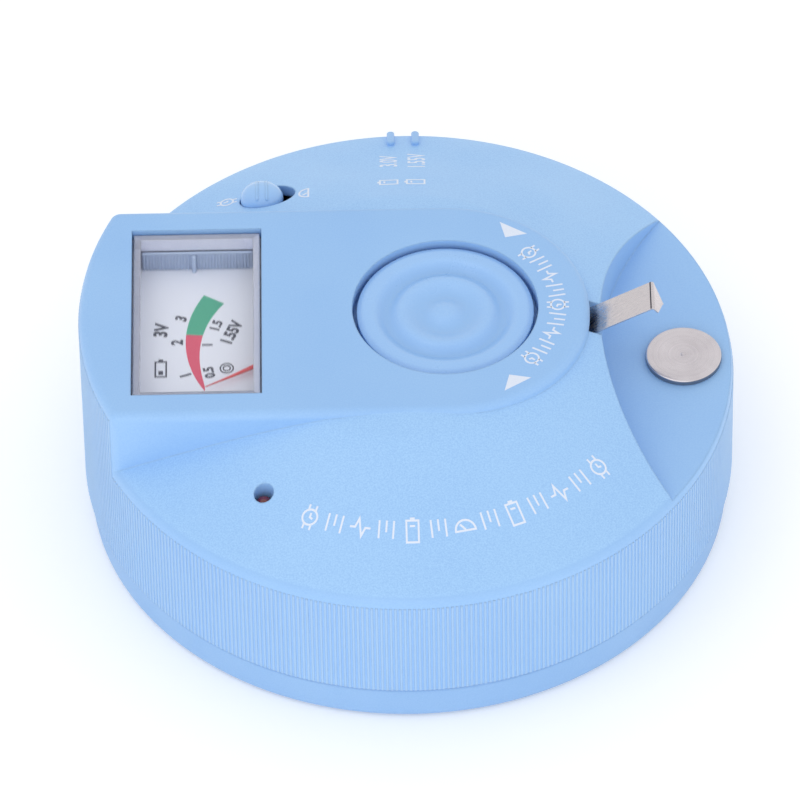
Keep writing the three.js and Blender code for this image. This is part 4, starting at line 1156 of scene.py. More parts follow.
@dataclass
class Base:
    """Lower half of the case, its sliding battery door, feet and screws."""

    steps: int = 288
    bay_x: Point = (-33.75, -6.25)
    bay_y: Point = (-24.75, 30.35)
    lip: float = 1.2
    door_top: float = 2.4

    def outside(self) -> list[Point]:
        """Outer half of the section, from the axis up to the seam."""
        under = curve((55.6, 0.5), (56.4, 0.5), (56.45, 1.3), 5)
        return [(0, 0.5), (40, 0.5), *under, (56.62, 4.0), (56.8, 6.95), (56.5, 7.3)]

    def cover(self) -> None:
        """Make the base cover with its bay, bosses, channel and recesses."""
        (x0, x1), (y0, y1) = self.bay_x, self.bay_y
        inside = [(55.0, 7.3), (55.0, 9.7), (53.4, 9.7), (53.4, 3.7), (0, 3.7)]
        made = turned("base_shell", self.outside() + inside, self.steps)
        cuts = [
            block("bay", (x0, y0, -1), (x1, y1, 14)),
            block("door_way", (x0, y0, -1), (x1, 60, 2.7)),
        ]
        cuts += [slab("counterbore", circle(2.9, 40, place), -1, 3.0) for place in SCREW_PLACES]
        cuts += [slab("foot_hole", circle(3.8, 48, place), -1, 2.0) for place in FOOT_PLACES]
        for cut in cuts:
            combine(made, cut, Cut.REMOVE)
        soften(made, 0.3, 3, 50.0, lambda a, b: max(a.z, b.z) < 0.6)
        walls = block("bay_walls", (x0 - 1.5, y0 - 1.5, 2.9), (x1 + 1.5, y1 + 1.5, 12.7))
        combine(walls, block("bay", (x0, y0, 2), (x1, y1, 14)), Cut.REMOVE)
        combine(made, walls, Cut.JOIN)
        for place in SCREW_PLACES:
            boss = [(1.5, 3.9), (2.95, 3.9), (2.95, 2.9), (4.1, 2.9), (4.1, 12.9), (1.5, 12.9)]
            combine(made, turned("boss", boss, 40, place), Cut.JOIN)
            combine(made, slab("way", circle(2.9, 40, place), 2.5, 3.9), Cut.REMOVE)
        lips = block("lips", (x0 - self.lip, y0, 1.15), (x1 + self.lip, 60, 2.5))
        combine(made, lips, Cut.REMOVE)
        finished(made, BASE_BLUE, Body.CASE, ["base_cover"])

    def door(self) -> None:
        """Make the battery door with its thumb scoop, ridges and arrow."""
        (x0, x1), y0 = self.bay_x, self.bay_y[0] + 0.3
        panel = block("door_panel", (x0 + 0.3, y0, 0.5), (x1 - 0.3, 60, self.door_top))
        lips = block("lips", (x0 - self.lip + 0.3, y0, 1.45), (x1 + self.lip - 0.3, 60, 2.2))
        combine(panel, lips, Cut.JOIN)
        combine(panel, turned("limit", [*self.outside(), (0, 7.3)], self.steps), Cut.KEEP)
        middle = (x0 + x1) / 2
        scoop = slab("scoop", circle(9, 64, (middle, 38.5), 4.6), -1, 1.15)
        combine(panel, scoop, Cut.REMOVE)
        arrow = [(-1.1, -4), (1.1, -4), (1.1, 0.6), (3.2, 0.6), (0, 4.6), (-3.2, 0.6), (-1.1, 0.6)]
        mark = slab("arrow", [(middle + x, 26.5 + y) for x, y in arrow], -1, 0.8)
        combine(panel, mark, Cut.REMOVE)
        soften(panel, 0.22, 3, 40.0, lambda a, b: max(a.z, b.z) < 0.62)
        ridges = block("ridge", (middle - 6.4, 35.4, 0.62), (middle + 6.4, 36.2, 1.3), 0.25, 3)
        copies_along(ridges, 4, (0, 1.8, 0))
        finished(merged("door_panel", [panel, ridges]), BASE_BLUE, Body.DOOR, ["battery_door"])

    def feet(self) -> None:
        """Make the four rubber feet."""
        for number, place in enumerate(FOOT_PLACES, 1):
            tread = [(0, 0.16), (1.5, 0.16), (2.0, 0.02)]
            profile = [*tread, *curve((2.9, 0), (3.45, 0), (3.5, 0.55), 5), (3.5, 1.9), (0, 1.9)]
            finished(turned(f"foot_pad_{number}", profile, 48, place), RUBBER, Body.CASE, [f"foot_{number}"])

    def screws(self) -> None:
        """Make the four case screws with cross recesses."""
        for number, place in enumerate(SCREW_PLACES, 1):
            head = curve((0, 1.8), (2.0, 1.8), (2.55, 2.7), 6)
            profile = [*head, (2.6, 3.0), (2.6, 3.8), (1.2, 3.8), (1.2, 20), (0, 21)]
            screw = turned(f"screw_{number}", profile, 40, place)
            for x, y in ((1.55, 0.32), (0.32, 1.55)):
                cross = block("cross", (place[0] - x, place[1] - y, 0), (place[0] + x, place[1] + y, 2.9))
                combine(screw, cross, Cut.REMOVE)
            finished(screw, SCREW_STEEL, Body.CASE, [f"case_screw_{number}"])

    def build(self) -> None:
        """Make everything on the underside."""
        self.cover()
        self.door()
        self.feet()
        self.screws()


@dataclass
class WatchPad:
    """Round pad with two soft rings about a low middle boss."""

    radius: float = 15.5
    crest: float = 43.8
    low: float = 40.6
    steps: int = 160

    def depth(self, share: float) -> float:
        """Depth of the surface below the crest at a share of the radius, eased between set places."""
        places = [(0, 0.1), (0.07, 0.14), (0.27, 1.05), (0.5, 0.05)]
        places += [(0.66, 1.35), (0.83, 0.0), (0.93, 0.05), (1, 0.5)]
        for (a, down), (b, next_down) in zip(places, places[1:]):
            if share <= b:
                t = (share - a) / (b - a)
                return down + (next_down - down) * (0.5 - 0.5 * math.cos(math.pi * t))
        return places[-1][1]

    def build(self) -> None:
        """Make the pad."""
        shares = [i / 56 for i in range(57)]
        top = [(share * self.radius, self.crest - self.depth(share)) for share in reversed(shares)]
        profile = [(0, self.low), (self.radius - 0.2, self.low), (self.radius, self.low + 0.2), *top]
        pad = turned("pad_disc", profile, self.steps, (SHAPE.pad_x, 0.0))
        finished(pad, PAD_BLUE, Body.CASE, ["watch_pad"], angle=50)


# ---- controls and contacts ----


@dataclass
class Controls:
    """Lamp, mode slider and range slider."""

    mode: tuple[float, float, float, float] = (-25.3, 35.9, 3.8, 3.5)
    range_x: float = -2.2
    range_z: float = 20.5

    def mode_knob(self) -> None:
        """Make the domed mode knob with its two grip ridges."""
        x, y, half_x, half_y = self.mode
        shoulder, rise = 36.35, 2.5
        dome = [(math.cos(a), rise / half_y * math.sin(a)) for a in [math.radians(6 * i) for i in range(15)]]
        knob = turned("mode_cap", [(0, -6.4), (1, -6.4), *dome, (0, rise / half_y)], 64)

        def placed(p: Vector) -> Vector:
            """Stretch the unit dome to the knob's oval and set it in its slot."""
            height = p.z * half_y if p.z > 0 else p.z
            return Vector((x + p.x * half_x, y + p.y * half_y, shoulder + height))

        bent(knob, placed)
        ridges = []
        for off in (-0.85, 0.85):
            low, high = (x + off - 0.2, y - 2.4, -0.2), (x + off + 0.2, y + 2.4, 0.16)
            ridge = block("ridge", low, high)
            with editing(ridge):
                bpy.ops.mesh.subdivide(number_cuts=7)
            soften(ridge, 0.14, 3, 60.0, lambda a, b: min(a.z, b.z) > -0.19)

            def over_dome(p: Vector) -> Vector:
                """Lay the ridge on the dome."""
                part = 1 - ((p.x - x) / half_x) ** 2 - ((p.y - y) / half_y) ** 2
                return Vector((p.x, p.y, shoulder + rise * math.sqrt(max(0.0, part)) + p.z))

            ridges.append(bent(ridge, over_dome))
        finished(merged("mode_cap", [knob, *ridges]), KNOB_BLUE, Body.MODE, ["mode_knob"], angle=50)

    def range_knob(self) -> None:
        """Make the ridged range slider in the rear wall."""
        x, z = self.range_x, self.range_z
        knob = block("range_cap", (x - 2, 54.2, z - 2.3), (x + 2, 56.5, z + 2.3), 0.35, 3)
        stem = block("stem", (x - 1, 53.1, z - 1), (x + 1, 55, z + 1))
        rib = block("rib", (x - 1.75, 55.9, z - 1.9), (x - 1.45, 56.85, z + 1.9), 0.12, 2)
        copies_along(rib, 5, (0.8, 0, 0))
        finished(merged("range_cap", [knob, stem, rib]), BLACK_PLASTIC, Body.RANGE, ["range_knob"])

    def lamp_dome(self) -> None:
        """Make the lamp with its domed lens, collar and legs."""
        top = 34.74
        lens = curve((1.5, top - 1.5), (1.5, top), (0, top), 8)
        profile = [(0, 27.0), (1.9, 27.0), (1.9, 28.0), (1.5, 28.0), *lens]
        made = [turned("lamp_lens", profile, 40, SHAPE.lamp)]
        for off in (-1.27, 1.27):
            x, y = SHAPE.lamp[0] + off, SHAPE.lamp[1]
            made.append(block("leg", (x - 0.25, y - 0.25, 21.4), (x + 0.25, y + 0.25, 27.5), 0.05, 1))
        finished(merged("lamp_lens", made), LAMP_RED, Body.CASE, ["lamp"])

    def build(self) -> None:
        """Make the controls."""
        self.mode_knob()
        self.range_knob()
        self.lamp_dome()


@dataclass
class Contacts:
    """Nickel disc and the sprung strip above it."""

    disc_radius: float = 6.7
    disc_top: float = 31.5
    strip_half: float = 3.3
    thick: float = 0.3
    hinge: Point = (29.3, 38.43)
    fold: Point = (43.1, 46.4)
    tab: float = 2.85
    drop: float = 53.0

    def disc(self) -> None:
        """Make the turned contact disc with its centre pip."""
        top, r = self.disc_top, self.disc_radius
        pip = [(0, top + 0.12), (0.3, top + 0.08), (0.5, top - 0.06), (0.8, top - 0.05), (0.95, top)]
        face = [(5.6, top), (r - 0.3, top), (r - 0.14, top - 0.07), (r - 0.04, top - 0.18)]
        face += [(r, top - 0.32), (r, top - 0.6)]
        profile = [(0, 23.7), (2.0, 23.7), (2.0, 30.4), (r - 0.1, 30.4), (r, 30.55)]
        profile += [*reversed(face), *reversed(pip)]
        disc = turned("disc_face", profile, 144, (SHAPE.disc_x - 0.15, 0.0))
        finished(disc, DISC_NICKEL, Body.CASE, ["contact_disc"])

    def strip(self) -> None:
        """Make the sprung strip: a rising leaf, a tight fold and a snipped tab."""
        rise = math.atan2(self.fold[1] - self.hinge[1], self.fold[0] - self.hinge[0])
        fall = -math.radians(self.drop)
        bend, steps = 0.28, 6
        turns = [rise + (fall - rise) * i / steps for i in range(steps + 1)]
        line = [Vector(self.hinge)]
        start = Vector(self.fold) - Vector((math.cos(rise), math.sin(rise))) * bend
        line.append(start)
        for turn in turns[1:]:
            line.append(line[-1] + Vector((math.cos(turn), math.sin(turn))) * bend * 0.35)
        line.append(line[-1] + Vector((math.cos(fall), math.sin(fall))) * (self.tab - bend))
        half = self.thick / 2
        ways = [(b - a).normalized() for a, b in zip(line, line[1:])]
        ways = [ways[0]] + [(a + b).normalized() for a, b in zip(ways, ways[1:])] + [ways[-1]]
        upper = [p + Vector((-w.y, w.x)) * half for p, w in zip(line, ways)]
        lower = [p - Vector((-w.y, w.x)) * half for p, w in zip(line, ways)]
        ring = [(p.x, -self.strip_half, p.y) for p in lower + upper[::-1]]
        strip = pushed("leaf_strip", ring, (0, 2 * self.strip_half, 0))
        tip, root = line[-1], line[-2]
        snips = [
            [(0.0, 3.5), (1.1, 3.5), (1.1, -0.15), (0.0, 3.15)],
            [(0.35, -3.5), (1.1, -3.5), (1.1, -0.15), (0.94, -0.15)],
        ]
        for snip in snips:
            ends = [(root + (tip - root) * share, y) for share, y in snip]
            normal = Vector((-ways[-1].y, ways[-1].x)) * 2
            ring3 = [(p.x - normal.x, y, p.y - normal.y) for p, y in ends]
            tool = pushed("snip", ring3, (2 * normal.x, 0, 2 * normal.y))
            combine(strip, tool, Cut.REMOVE)
        soften(strip, 0.07, 2, 30.0)
        finished(strip, STRIP_NICKEL, Body.STRIP, ["contact_strip"])
        # thin dark sheet over the fold's upper face: painted shade of the fold
        along, normal = ways[0], Vector((-ways[0].y, ways[0].x))
        foot = start + along * 0.1 + normal * half
        corners = [foot - along * 0.24, foot, foot + normal * 0.03, foot - along * 0.24 + normal * 0.03]
        ring = [(p.x, -self.strip_half + 0.05, p.y) for p in corners]
        fold_shade = pushed("fold_score", ring, (0, 2 * self.strip_half - 0.1, 0))
        finished(fold_shade, FOLD_SHADE_PAINT, Body.STRIP)

    def build(self) -> None:
        """Make both contacts."""
        self.disc()
        self.strip()


# ---- the meter ----


@dataclass
class Meter:
    """Clear cover, ribbed walls, printed dial and needle."""

    pivot: Point = (-16.3, 0.0)
    dial: float = 36.6
    reach: float = 22.3
    rest: float = 31.7
    pane: float = 43.6
    window: tuple[float, float, float] = (-47.8, -25.6, 19.8)

    def cover(self) -> None:
        """Make the pale shell, wide under the case and narrow in the window, and the clear pane on it."""
        left, right, half = self.window
        steps = [
            ((-49.3, -20.5, 35.3), (-6.0, 20.5, 38.7)),
            ((-49.3, -20.5, 35.3), (-11.35, 20.5, 42.0)),
            ((left, -half, 36.0), (right, half, self.pane)),
        ]
        wall = 1.2
        shell = block("meter_shell", *steps[0])
        hollow = block("hollow", (-48.1, -19.3, 30), (-7.2, 19.3, 37.5))
        for low, high in steps[1:]:
            combine(shell, block("step", low, high), Cut.JOIN)
            roof = wall if high[2] < self.pane else -1.0
            inner_low = (low[0] + wall, low[1] + wall, 30)
            inner_high = (high[0] - wall, high[1] - wall, high[2] - roof)
            combine(hollow, block("step", inner_low, inner_high), Cut.JOIN)
        combine(shell, hollow, Cut.REMOVE)
        finished(shell, METER_SHELL, Body.CASE)
        pane = block("window_cover", (left, -half, self.pane), (right, half, 44.0))
        soften(pane, 0.25, 3, 40.0, lambda a, b: min(a.z, b.z) > 43.9)
        finished(pane, CLEAR, Body.CASE, ["meter_cover"])

    def walls(self) -> None:
        """Make the ribbed inner walls at both ends of the window, with the zero pin."""
        left, right, half = self.window
        low, high = self.dial + 0.05, 40.7
        made = []
        for side in (-1, 1):
            face = side * (half - 1.25)
            near, far = sorted((face, face - side * 0.5))
            made.append(block("meter_walls", (left + 1.3, near, low), (right - 1.3, far, high), 0.1, 1))
            near, far = sorted((face - side * 0.45, face - side * 0.72))
            rib = block("rib", (left + 1.5, near, low), (left + 1.78, far, high - 0.3), 0.08, 1)
            copies_along(rib, 34, (0.56, 0, 0))
            made.append(rib)
        pin = [(0, low), (0.4, low), (0.4, 40.2), (0.25, 40.45), (0, 40.45)]
        made.append(turned("pin", pin, 20, (-37.3, 17.55)))
        finished(merged("meter_walls", made), METER_GREY, Body.CASE)

    def at(self, degrees: float, radius: float) -> Point:
        """Place on the dial at an angle from its middle line, + towards the back."""
        turn = math.radians(180 - degrees)
        return (self.pivot[0] + radius * math.cos(turn), self.pivot[1] + radius * math.sin(turn))

    def sector(self, name: str, start: float, end: float, finish: Finish) -> None:
        """Print part of the tapering colour band.

        Args:
            name: Name of the piece.
            start: Angle where it starts.
            end: Angle where it ends.
            finish: Its ink.
        """
        outer, widest, low, high = 22.5, 4.1, -31.7, 31.0
        angles = [start + (end - start) * i / 24 for i in range(25)]
        wide = lambda a: widest * max(0.0, (a - low) / (high - low)) ** 0.63 + 0.02
        ring = [self.at(a, outer) for a in angles] + [self.at(a, outer - wide(a)) for a in reversed(angles)]
        piece = slab(name, ring, self.dial, self.dial + PRINT_PROUD)
        finished(piece, finish, Body.CASE)

    def prints(self) -> None:
        """Print the dial's numbers and its two small cell signs."""
        made = []
        outer_row = [("3", -39.5, 5.9, -20), ("2", -40.2, 0.1, 0), ("1", -38.7, -7.9, 20)]
        inner_row = [("1.5", -33.4, 4.0, -20), ("1", -34.9, -0.6, 0), ("0.5", -34.6, -7.3, 12)]
        for tall, row in ((1.95, outer_row), (1.7, inner_row)):
            for text, x, y, lean in row:
                made.append(lettered(text, tall, (x, y), 90 + lean, 0.9, 0.035))
        made.append(lettered("3V", 2.3, (-43.0, 3.1), 84, 0.9, 0.035))
        made.append(lettered("1.55V", 2.1, (-30.7, 2.2), 67, 0.84, 0.035))
        cell = strokes([[(-44.1, -8.2), (-42.2, -8.2), (-42.2, -4.6), (-44.1, -4.6)]], 0.28, closed=True)
        nub = strokes([[(-43.15, -4.5), (-43.15, -4.0)], [(-43.15, -7.7), (-43.15, -6.8)]], 0.8)
        rings = [circle(1.15, 28, (-31.6, -6.4)), circle(0.62, 20, (-31.6, -6.4))]
        button = strokes(rings, 0.24, closed=True)
        piece = merged("dial_figures", made + cell + nub + button)
        bent(piece, lambda p: Vector((p.x, p.y, self.dial + max(0.0, p.z))))
        finished(piece, INK_DARK, Body.CASE)

    def needle(self) -> None:
        """Make the needle: a bowed tapering blade with a hub and a short tail."""
        z, reach = 37.6, self.reach
        spans = [i / 20 for i in range(21)]
        middle = lambda t: 0.45 * math.sin(math.pi * t)
        half = lambda t: 0.03 + 0.62 * math.sin(math.pi / 2 * t) ** 1.3
        upper = [(-reach + t * (reach - 2), -middle(t) + half(t)) for t in spans]
        lower = [(-reach + t * (reach - 2), -middle(t) - half(t)) for t in spans]
        blade = slab("needle_blade", lower + [(3, -0.9), (3, 0.9)] + upper[::-1], z - 0.12, z + 0.12)
        hub = [(0.62, z - 0.6), (1.8, z - 0.6), (2.0, z - 0.4)]
        hub += [(r, 2 * z - height) for r, height in reversed(hub)]
        combine(blade, slab("bore", circle(0.62, 24), z - 1, z + 1), Cut.REMOVE)
        made = merged("needle_blade", [blade, turned("hub", hub, 32)])
        turn = Matrix.Rotation(math.radians(self.rest), 3, "Z")
        bent(made, lambda p: turn @ p + Vector((self.pivot[0], self.pivot[1], 0)))
        finished(made, NEEDLE_RED, Body.POINTER, ["needle"])

    def build(self) -> None:
        """Make the meter's visible pieces."""
        self.cover()
        self.walls()
        self.sector("dial_red", -31.7, 4.9, INK_RED)
        self.sector("dial_green", 4.9, 31.0, INK_GREEN)
        self.prints()
        self.needle()


# ---- printing ----


def lettered(
    text: str, tall: float, place: Point, degrees: float, narrow: float, bold: float = 0.012
) -> Piece:
    """Make thin printed figures.

    Args:
        text: The figures.
        tall: Height of a figure.
        place: Middle of the text.
        degrees: Turn of its reading direction from +X.
        narrow: Width as a share of the font's own.
        bold: How far the figures are thickened, as a share of the font's size.

    Returns:
        A thin mesh that stands a print's thickness about height 0.
    """
    deselect()
    bpy.ops.object.text_add()
    made = bpy.context.object
    made.data.body = text
    made.data.align_x = "CENTER"
    made.data.align_y = "CENTER"
    made.data.offset = bold
    made.data.resolution_u = 3
    made.data.extrude = 0.05
    bpy.ops.object.convert(target="MESH")
    made = bpy.context.object
    size = tall / 0.7
    turn = Matrix.Rotation(math.radians(degrees), 3, "Z")

    def placed(p: Vector) -> Vector:
        """Scale, turn and carry one point of the figures."""
        flat = turn @ Vector((p.x * size * narrow, p.y * size, 0.0))
        height = PRINT_PROUD if p.z > 0 else -PRINT_SUNK
        return Vector((flat.x + place[0], flat.y + place[1], height))

    for vertex in made.data.vertices:
        vertex.co = placed(vertex.co) * MM
    with editing(made):
        bpy.ops.mesh.remove_doubles(threshold=0.001 * MM)
        bpy.ops.mesh.normals_make_consistent(inside=False)
    return made


def strokes(lines: Sequence[Sequence[Point]], width: float, closed: bool = False) -> list[Piece]:
    """Make thin printed lines.

    Args:
        lines: The points of each line.
        width: Width of the lines.
        closed: Whether each line ends where it starts.

    Returns:
        One thin mesh for each line.
    """
    made = []
    half = width / 2
    for points in lines:
        corners = [Vector(p) for p in points]
        count = len(corners)
        sides: list[tuple[Vector, Vector]] = []
        for i, here in enumerate(corners):
            before = corners[i - 1] if closed or i else here
            after = corners[(i + 1) % count] if closed or i < count - 1 else here
            into = (here - before).normalized() if before is not here else (after - here).normalized()
            out = (after - here).normalized() if after is not here else into
            across = Vector((-into.y - out.y, into.x + out.x)).normalized()
            reach = half / max(0.3, across.dot(Vector((-into.y, into.x))))
            sides.append((here + across * reach, here - across * reach))
        if closed:
            outer = [tuple(a) for a, _ in sides]
            inner = [tuple(b) for _, b in sides]
            area = lambda ring: abs(sum(a[0] * b[1] - b[0] * a[1] for a, b in zip(ring, ring[1:] + ring[:1])))
            if area(outer) < area(inner):
                outer, inner = inner, outer
            piece = slab("line", outer, -PRINT_SUNK, PRINT_PROUD)
            combine(piece, slab("hole", inner, -1, 1), Cut.REMOVE)
        else:
            ring = [tuple(a) for a, _ in sides] + [tuple(b) for _, b in reversed(sides)]
            piece = slab("line", ring, -PRINT_SUNK, PRINT_PROUD)
        made.append(piece)
    return made


class Sign(Enum):
    """Small generic signs that are printed on the case."""

    WATCH = "watch"
    CELL = "cell"
    GAUGE = "gauge"
    WAVE = "wave"
    TICKS = "ticks"


@dataclass
class Printing:
    """White printing on the case: arrows, signs and the two voltages."""

    line: float = 0.34
    tick_gap: float = 1.25

    def sign(self, kind: Sign, tall: float) -> list[Piece]:
        """Draw a sign about the origin.

        Args:
            kind: Which sign.
            tall: Its height.

        Returns:
            Its lines.
        """
        h = tall / 2
        if kind is Sign.WATCH:
            made = strokes([circle(h * 0.62, 28)], self.line, closed=True)
            straps = [[(x, y * 0.62 * h * 0.92), (x, y * h)] for x in (-0.3 * h, 0.3 * h) for y in (-1, 1)]
            return made + strokes([*straps, [(0, 0.34 * h), (0, 0), (0.26 * h, -0.1 * h)]], self.line)
        if kind is Sign.CELL:
            rect = [(-h * 0.5, -h), (h * 0.5, -h), (h * 0.5, h * 0.74), (-h * 0.5, h * 0.74)]
            plus = [[(-0.22 * h, 0.3 * h), (0.22 * h, 0.3 * h)], [(-0.2 * h, 0.9 * h), (0.2 * h, 0.9 * h)]]
            return strokes([rect], self.line, closed=True) + strokes(plus, self.line)
        if kind is Sign.GAUGE:
            dome = arc(h * 1.1, 0, 180, 20, (0, -h * 0.6))
            hand = [(0, -h * 0.5), (-h * 0.5, h * 0.1)]
            return strokes([dome], self.line, closed=True) + strokes([hand], self.line)
        if kind is Sign.WAVE:
            wave = [(-h, 0), (-h * 0.5, 0), (-h * 0.2, h * 0.8), (h * 0.2, -h * 0.8), (h * 0.5, 0), (h, 0)]
            return strokes([wave], self.line)
        feet = [(step * self.tick_gap, -h * down) for step, down in ((-1, 1), (0, 0.3), (1, 1))]
        return strokes([[(x, foot), (x, h)] for x, foot in feet], self.line)

    def set_down(
        self, kind: Sign, tall: float, place: Point, degrees: float, surface: Rule
    ) -> Piece:
        """Print a sign on a surface.

        Args:
            kind: Which sign.
            tall: Its height.
            place: Its middle.
            degrees: Turn of its upright direction from +Y.
            surface: Rule that lays a flat shape on the surface.

        Returns:
            The sign as one mesh.
        """
        made = merged(kind.value, self.sign(kind, tall))
        turn = Matrix.Rotation(math.radians(degrees), 3, "Z")
        return bent(made, lambda p: surface(turn @ p + Vector((place[0], place[1], 0))))

    def pad_signs(self) -> None:
        """Print two arrows beside the pad, and a row of signs between them."""
        level = lambda p: Vector((p.x, p.y, SHAPE.top + p.z))
        centre = (SHAPE.pad_x, 0.0)
        made = []
        for side in (-1, 1):
            corners = [(22.9, 64.2), (22.9, 50.2), (20.0, 57.2)]
            ring = [arc(r, side * a, side * a, 1, centre)[0] for r, a in corners]
            made.append(bent(slab("arrow", ring, -PRINT_SUNK, PRINT_PROUD), level))
        row = [Sign.WATCH, Sign.TICKS, Sign.WAVE, Sign.TICKS] * 2 + [Sign.WATCH]
        for i, kind in enumerate(row):
            angle = -41 + 82 * i / (len(row) - 1)
            place = arc(19.7, angle, angle, 1, centre)[0]
            tall = 3.9 if kind is Sign.WATCH else 3.0
            made.append(self.set_down(kind, tall, place, angle - 90, level))
        finished(merged("pad_signs", made), INK_WHITE, Body.CASE)

    def cone_signs(self) -> None:
        """Print the row of signs on the front of the cone, and those beside the two sliders."""
        surface = SHAPE.on_cone(0.0)
        row = [Sign.WATCH, Sign.TICKS, Sign.WAVE, Sign.TICKS, Sign.CELL, Sign.TICKS, Sign.GAUGE]
        row += [Sign.TICKS, Sign.CELL, Sign.TICKS, Sign.WAVE, Sign.TICKS, Sign.WATCH]
        made = []
        for i, kind in enumerate(row):
            angle = -112.5 + 69 * i / (len(row) - 1)
            place = arc(45.2, angle, angle, 1)[0]
            tall = {Sign.TICKS: 3.0, Sign.WAVE: 3.6, Sign.GAUGE: 3.2}.get(kind, 4.2)
            made.append(self.set_down(kind, tall, place, angle + 90, surface))
        made.append(self.set_down(Sign.WATCH, 3.6, (-31.6, 36.9), 90, surface))
        made.append(self.set_down(Sign.GAUGE, 3.0, (-17.9, 34.6), 90, surface))
        made.append(self.set_down(Sign.CELL, 3.6, (-2.9, 35.6), 90, surface))
        made.append(self.set_down(Sign.CELL, 3.6, (1.9, 35.6), 90, surface))
        for text, x in (("3.0V", -2.5), ("1.55V", 2.5)):
            made.append(bent(lettered(text, 3.1, (x, 44.9), 90, 0.62), surface))
        finished(merged("cone_signs", made), INK_WHITE, Body.CASE)

    def build(self) -> None:
        """Print the case."""
        self.pad_signs()
        self.cone_signs()


# ---- inside ----


@dataclass
class Inside:
    """The battery, and the finishes of the CAD nodes that keep their own shape."""

    battery: tuple[float, float, float, float, float, float] = (-33.25, -6.75, -24.25, 22.15, 2.7, 20.2)

    def battery_block(self) -> None:
        """Make the battery: a rolled jacket with its two studs."""
        x0, x1, y0, y1, z0, z1 = self.battery
        corner = 2.2
        middle, height = (x0 + x1) / 2, (z0 + z1) / 2
        half_x, half_z = (x1 - x0) / 2, (z1 - z0) / 2
        ring = []
        for cx, cz, start in ((1, -1, -90), (1, 1, 0), (-1, 1, 90), (-1, -1, 180)):
            centre = (middle + cx * (half_x - corner), height + cz * (half_z - corner))
            ring += arc(corner, start, start + 90, 8, centre)
        jacket = pushed("battery_jacket", [(x, y0, z) for x, z in ring], (0, y1 - y0, 0))
        soften(jacket, 0.7, 4, 50.0)
        finished(jacket, BATTERY_WRAP, Body.CASE, ["battery_9v"])
        studs = []
        for x, r in ((middle - 6.35, 2.9), (middle + 6.35, 3.6)):
            profile = [(0, 0), (r, 0), (r, 1.2), (r - 0.3, 1.5), (r - 0.3, 1.8)]
            profile += [(r - 0.8, 2.1), (r - 1.2, 1.6), (0, 1.6)]
            stud = turned("stud", profile, 40)
            studs.append(bent(stud, lambda p, x=x: Vector((x + p.x, y1 - 0.02 + p.z, height - p.y))))
        finished(merged("battery_studs", studs), BRASS, Body.CASE)

    def dress_nodes(self) -> None:
        """Give each CAD node that is still shown its finish."""
        finishes = {
            BLACK_PLASTIC: ["battery_snap", "ic_chip", "capacitor_large", "capacitor_small", "buzzer"],
            WHITE_PLASTIC: ["trimmer", "coil_bobbin", "meter_base"],
            BOARD_GREEN: ["pcb"],
            RESISTOR_TAN: ["resistor_1", "resistor_2", "resistor_3"],
            COPPER: ["coil_winding", "moving_coil"],
            FERRITE: ["coil_core", "core_magnet"],
            STEEL: [
                "mode_switch", "range_switch", "anchor_screw", "meter_yoke", "lower_staff", "upper_staff",
            ],
            STRIP_NICKEL: ["strip_anchor"],
            BRASS: ["disc_nut", "meter_terminal_1", "meter_terminal_2", "hairspring", "meter_bridge"],
            CARD_WHITE: ["scale_plate"],
            LEAD_RED: ["lead_red"],
            LEAD_BLACK: ["lead_black"],
        }
        for finish, names in finishes.items():
            for name in names:
                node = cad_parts[name]
                for place in node.material_slots:
                    place.material = finish.material()
                log.info("%s: %s", name, finish.name)

    def build(self) -> None:
        """Make the battery and dress the rest."""
        self.battery_block()
        self.dress_nodes()


# ---- setting ----


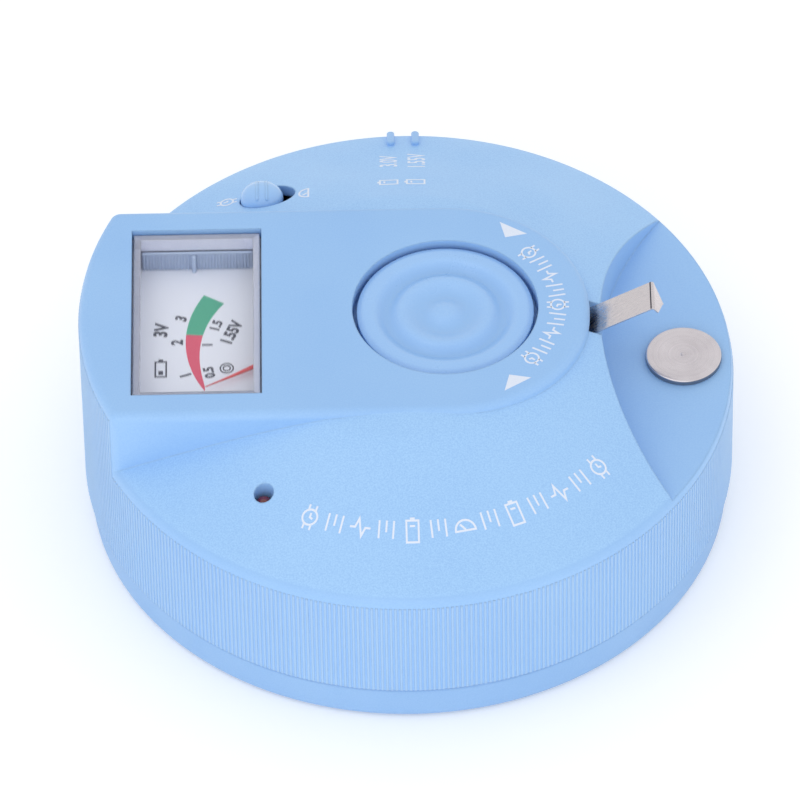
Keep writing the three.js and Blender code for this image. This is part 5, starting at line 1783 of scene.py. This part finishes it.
@dataclass
class Studio:
    """Pale floor, soft light and the camera."""

    elevation: float = 46.2
    roll: float = 1.05
    distance: float = 1776.0
    slide: Point = (-1.37, 14.27)
    focal_share: float = 9546 / 800
    world: float = 0.9

    def floor(self) -> None:
        """Lay a wide plain floor."""
        deselect()
        bpy.ops.mesh.primitive_circle_add(vertices=96, radius=4.0, fill_type="NGON", location=(0, 0, 0))
        floor = bpy.context.object
        floor.name = "floor"
        material = bpy.data.materials.new("floor_white")
        material.use_nodes = True
        principled = material.node_tree.nodes["Principled BSDF"]
        principled.inputs["Base Color"].default_value = (0.98, 0.98, 0.98, 1)
        principled.inputs["Roughness"].default_value = 0.9
        principled.inputs["Specular IOR Level"].default_value = 0.1
        principled.inputs["Emission Color"].default_value = (1, 1, 1, 1)
        principled.inputs["Emission Strength"].default_value = 0.14
        floor.data.materials.append(material)

    def lamp(self, name: str, place: Point3, size: float, power: float) -> None:
        """Hang a soft square light that faces the tester.

        Args:
            name: Its name.
            place: Where it hangs, in metres.
            size: Its side, in metres.
            power: Its strength in watts.
        """
        light = bpy.data.lights.new(name, "AREA")
        light.shape = "SQUARE"
        light.size = size
        light.energy = power
        hung = bpy.data.objects.new(name, light)
        bpy.context.scene.collection.objects.link(hung)
        hung.location = place
        hung.rotation_euler = (-Vector(place)).to_track_quat("-Z", "Y").to_euler()

    def light(self) -> None:
        """Light the scene evenly, with a small lamp overhead and a broad one in front."""
        world = bpy.data.worlds.new("studio")
        world.use_nodes = True
        background = world.node_tree.nodes["Background"]
        background.inputs["Color"].default_value = (1, 1, 1, 1)
        background.inputs["Strength"].default_value = self.world
        bpy.context.scene.world = world
        self.lamp("overhead", (-0.4, -0.2, 1.1), 0.4, 0.5)
        self.lamp("front", (-0.15, -1.35, 0.45), 1.2, 3.8)
        bpy.context.scene.view_settings.view_transform = "Standard"

    def camera(self) -> None:
        """Stand the camera in front, above, and turn it a little about its own line of sight."""
        up, roll = math.radians(self.elevation), math.radians(self.roll)
        right = Vector((1, 0, 0))
        above = Vector((0, math.sin(up), math.cos(up)))
        ahead = Vector((0, math.cos(up), -math.sin(up)))
        place = (right * self.slide[0] + above * self.slide[1]) - ahead * self.distance * 0.9583
        turned_right = right * math.cos(roll) - above * math.sin(roll)
        turned_up = right * math.sin(roll) + above * math.cos(roll)
        camera = bpy.data.objects.new("camera", bpy.data.cameras.new("camera"))
        bpy.context.scene.collection.objects.link(camera)
        columns = Matrix((turned_right, turned_up, -ahead)).transposed().to_4x4()
        camera.matrix_world = Matrix.Translation(place * MM + Vector((0, 0, SHAPE.ground * MM))) @ columns
        camera.data.lens = camera.data.sensor_width * self.focal_share
        camera.data.clip_end = 100
        bpy.context.scene.camera = camera

    def build(self) -> None:
        """Set the stage."""
        self.floor()
        self.light()
        self.camera()


def main() -> None:
    """Build every sub-assembly in order and log each as it is done."""
    logging.basicConfig(level=logging.INFO, format="%(message)s")
    build_groups()
    assemblies = [Studio(), TopCase(), Base(), WatchPad(), Controls()]
    assemblies += [Contacts(), Meter(), Printing(), Inside()]
    for assembly in assemblies:
        assembly.build()
        log.info("%s done", type(assembly).__name__)


if __name__ == "__main__":
    main()
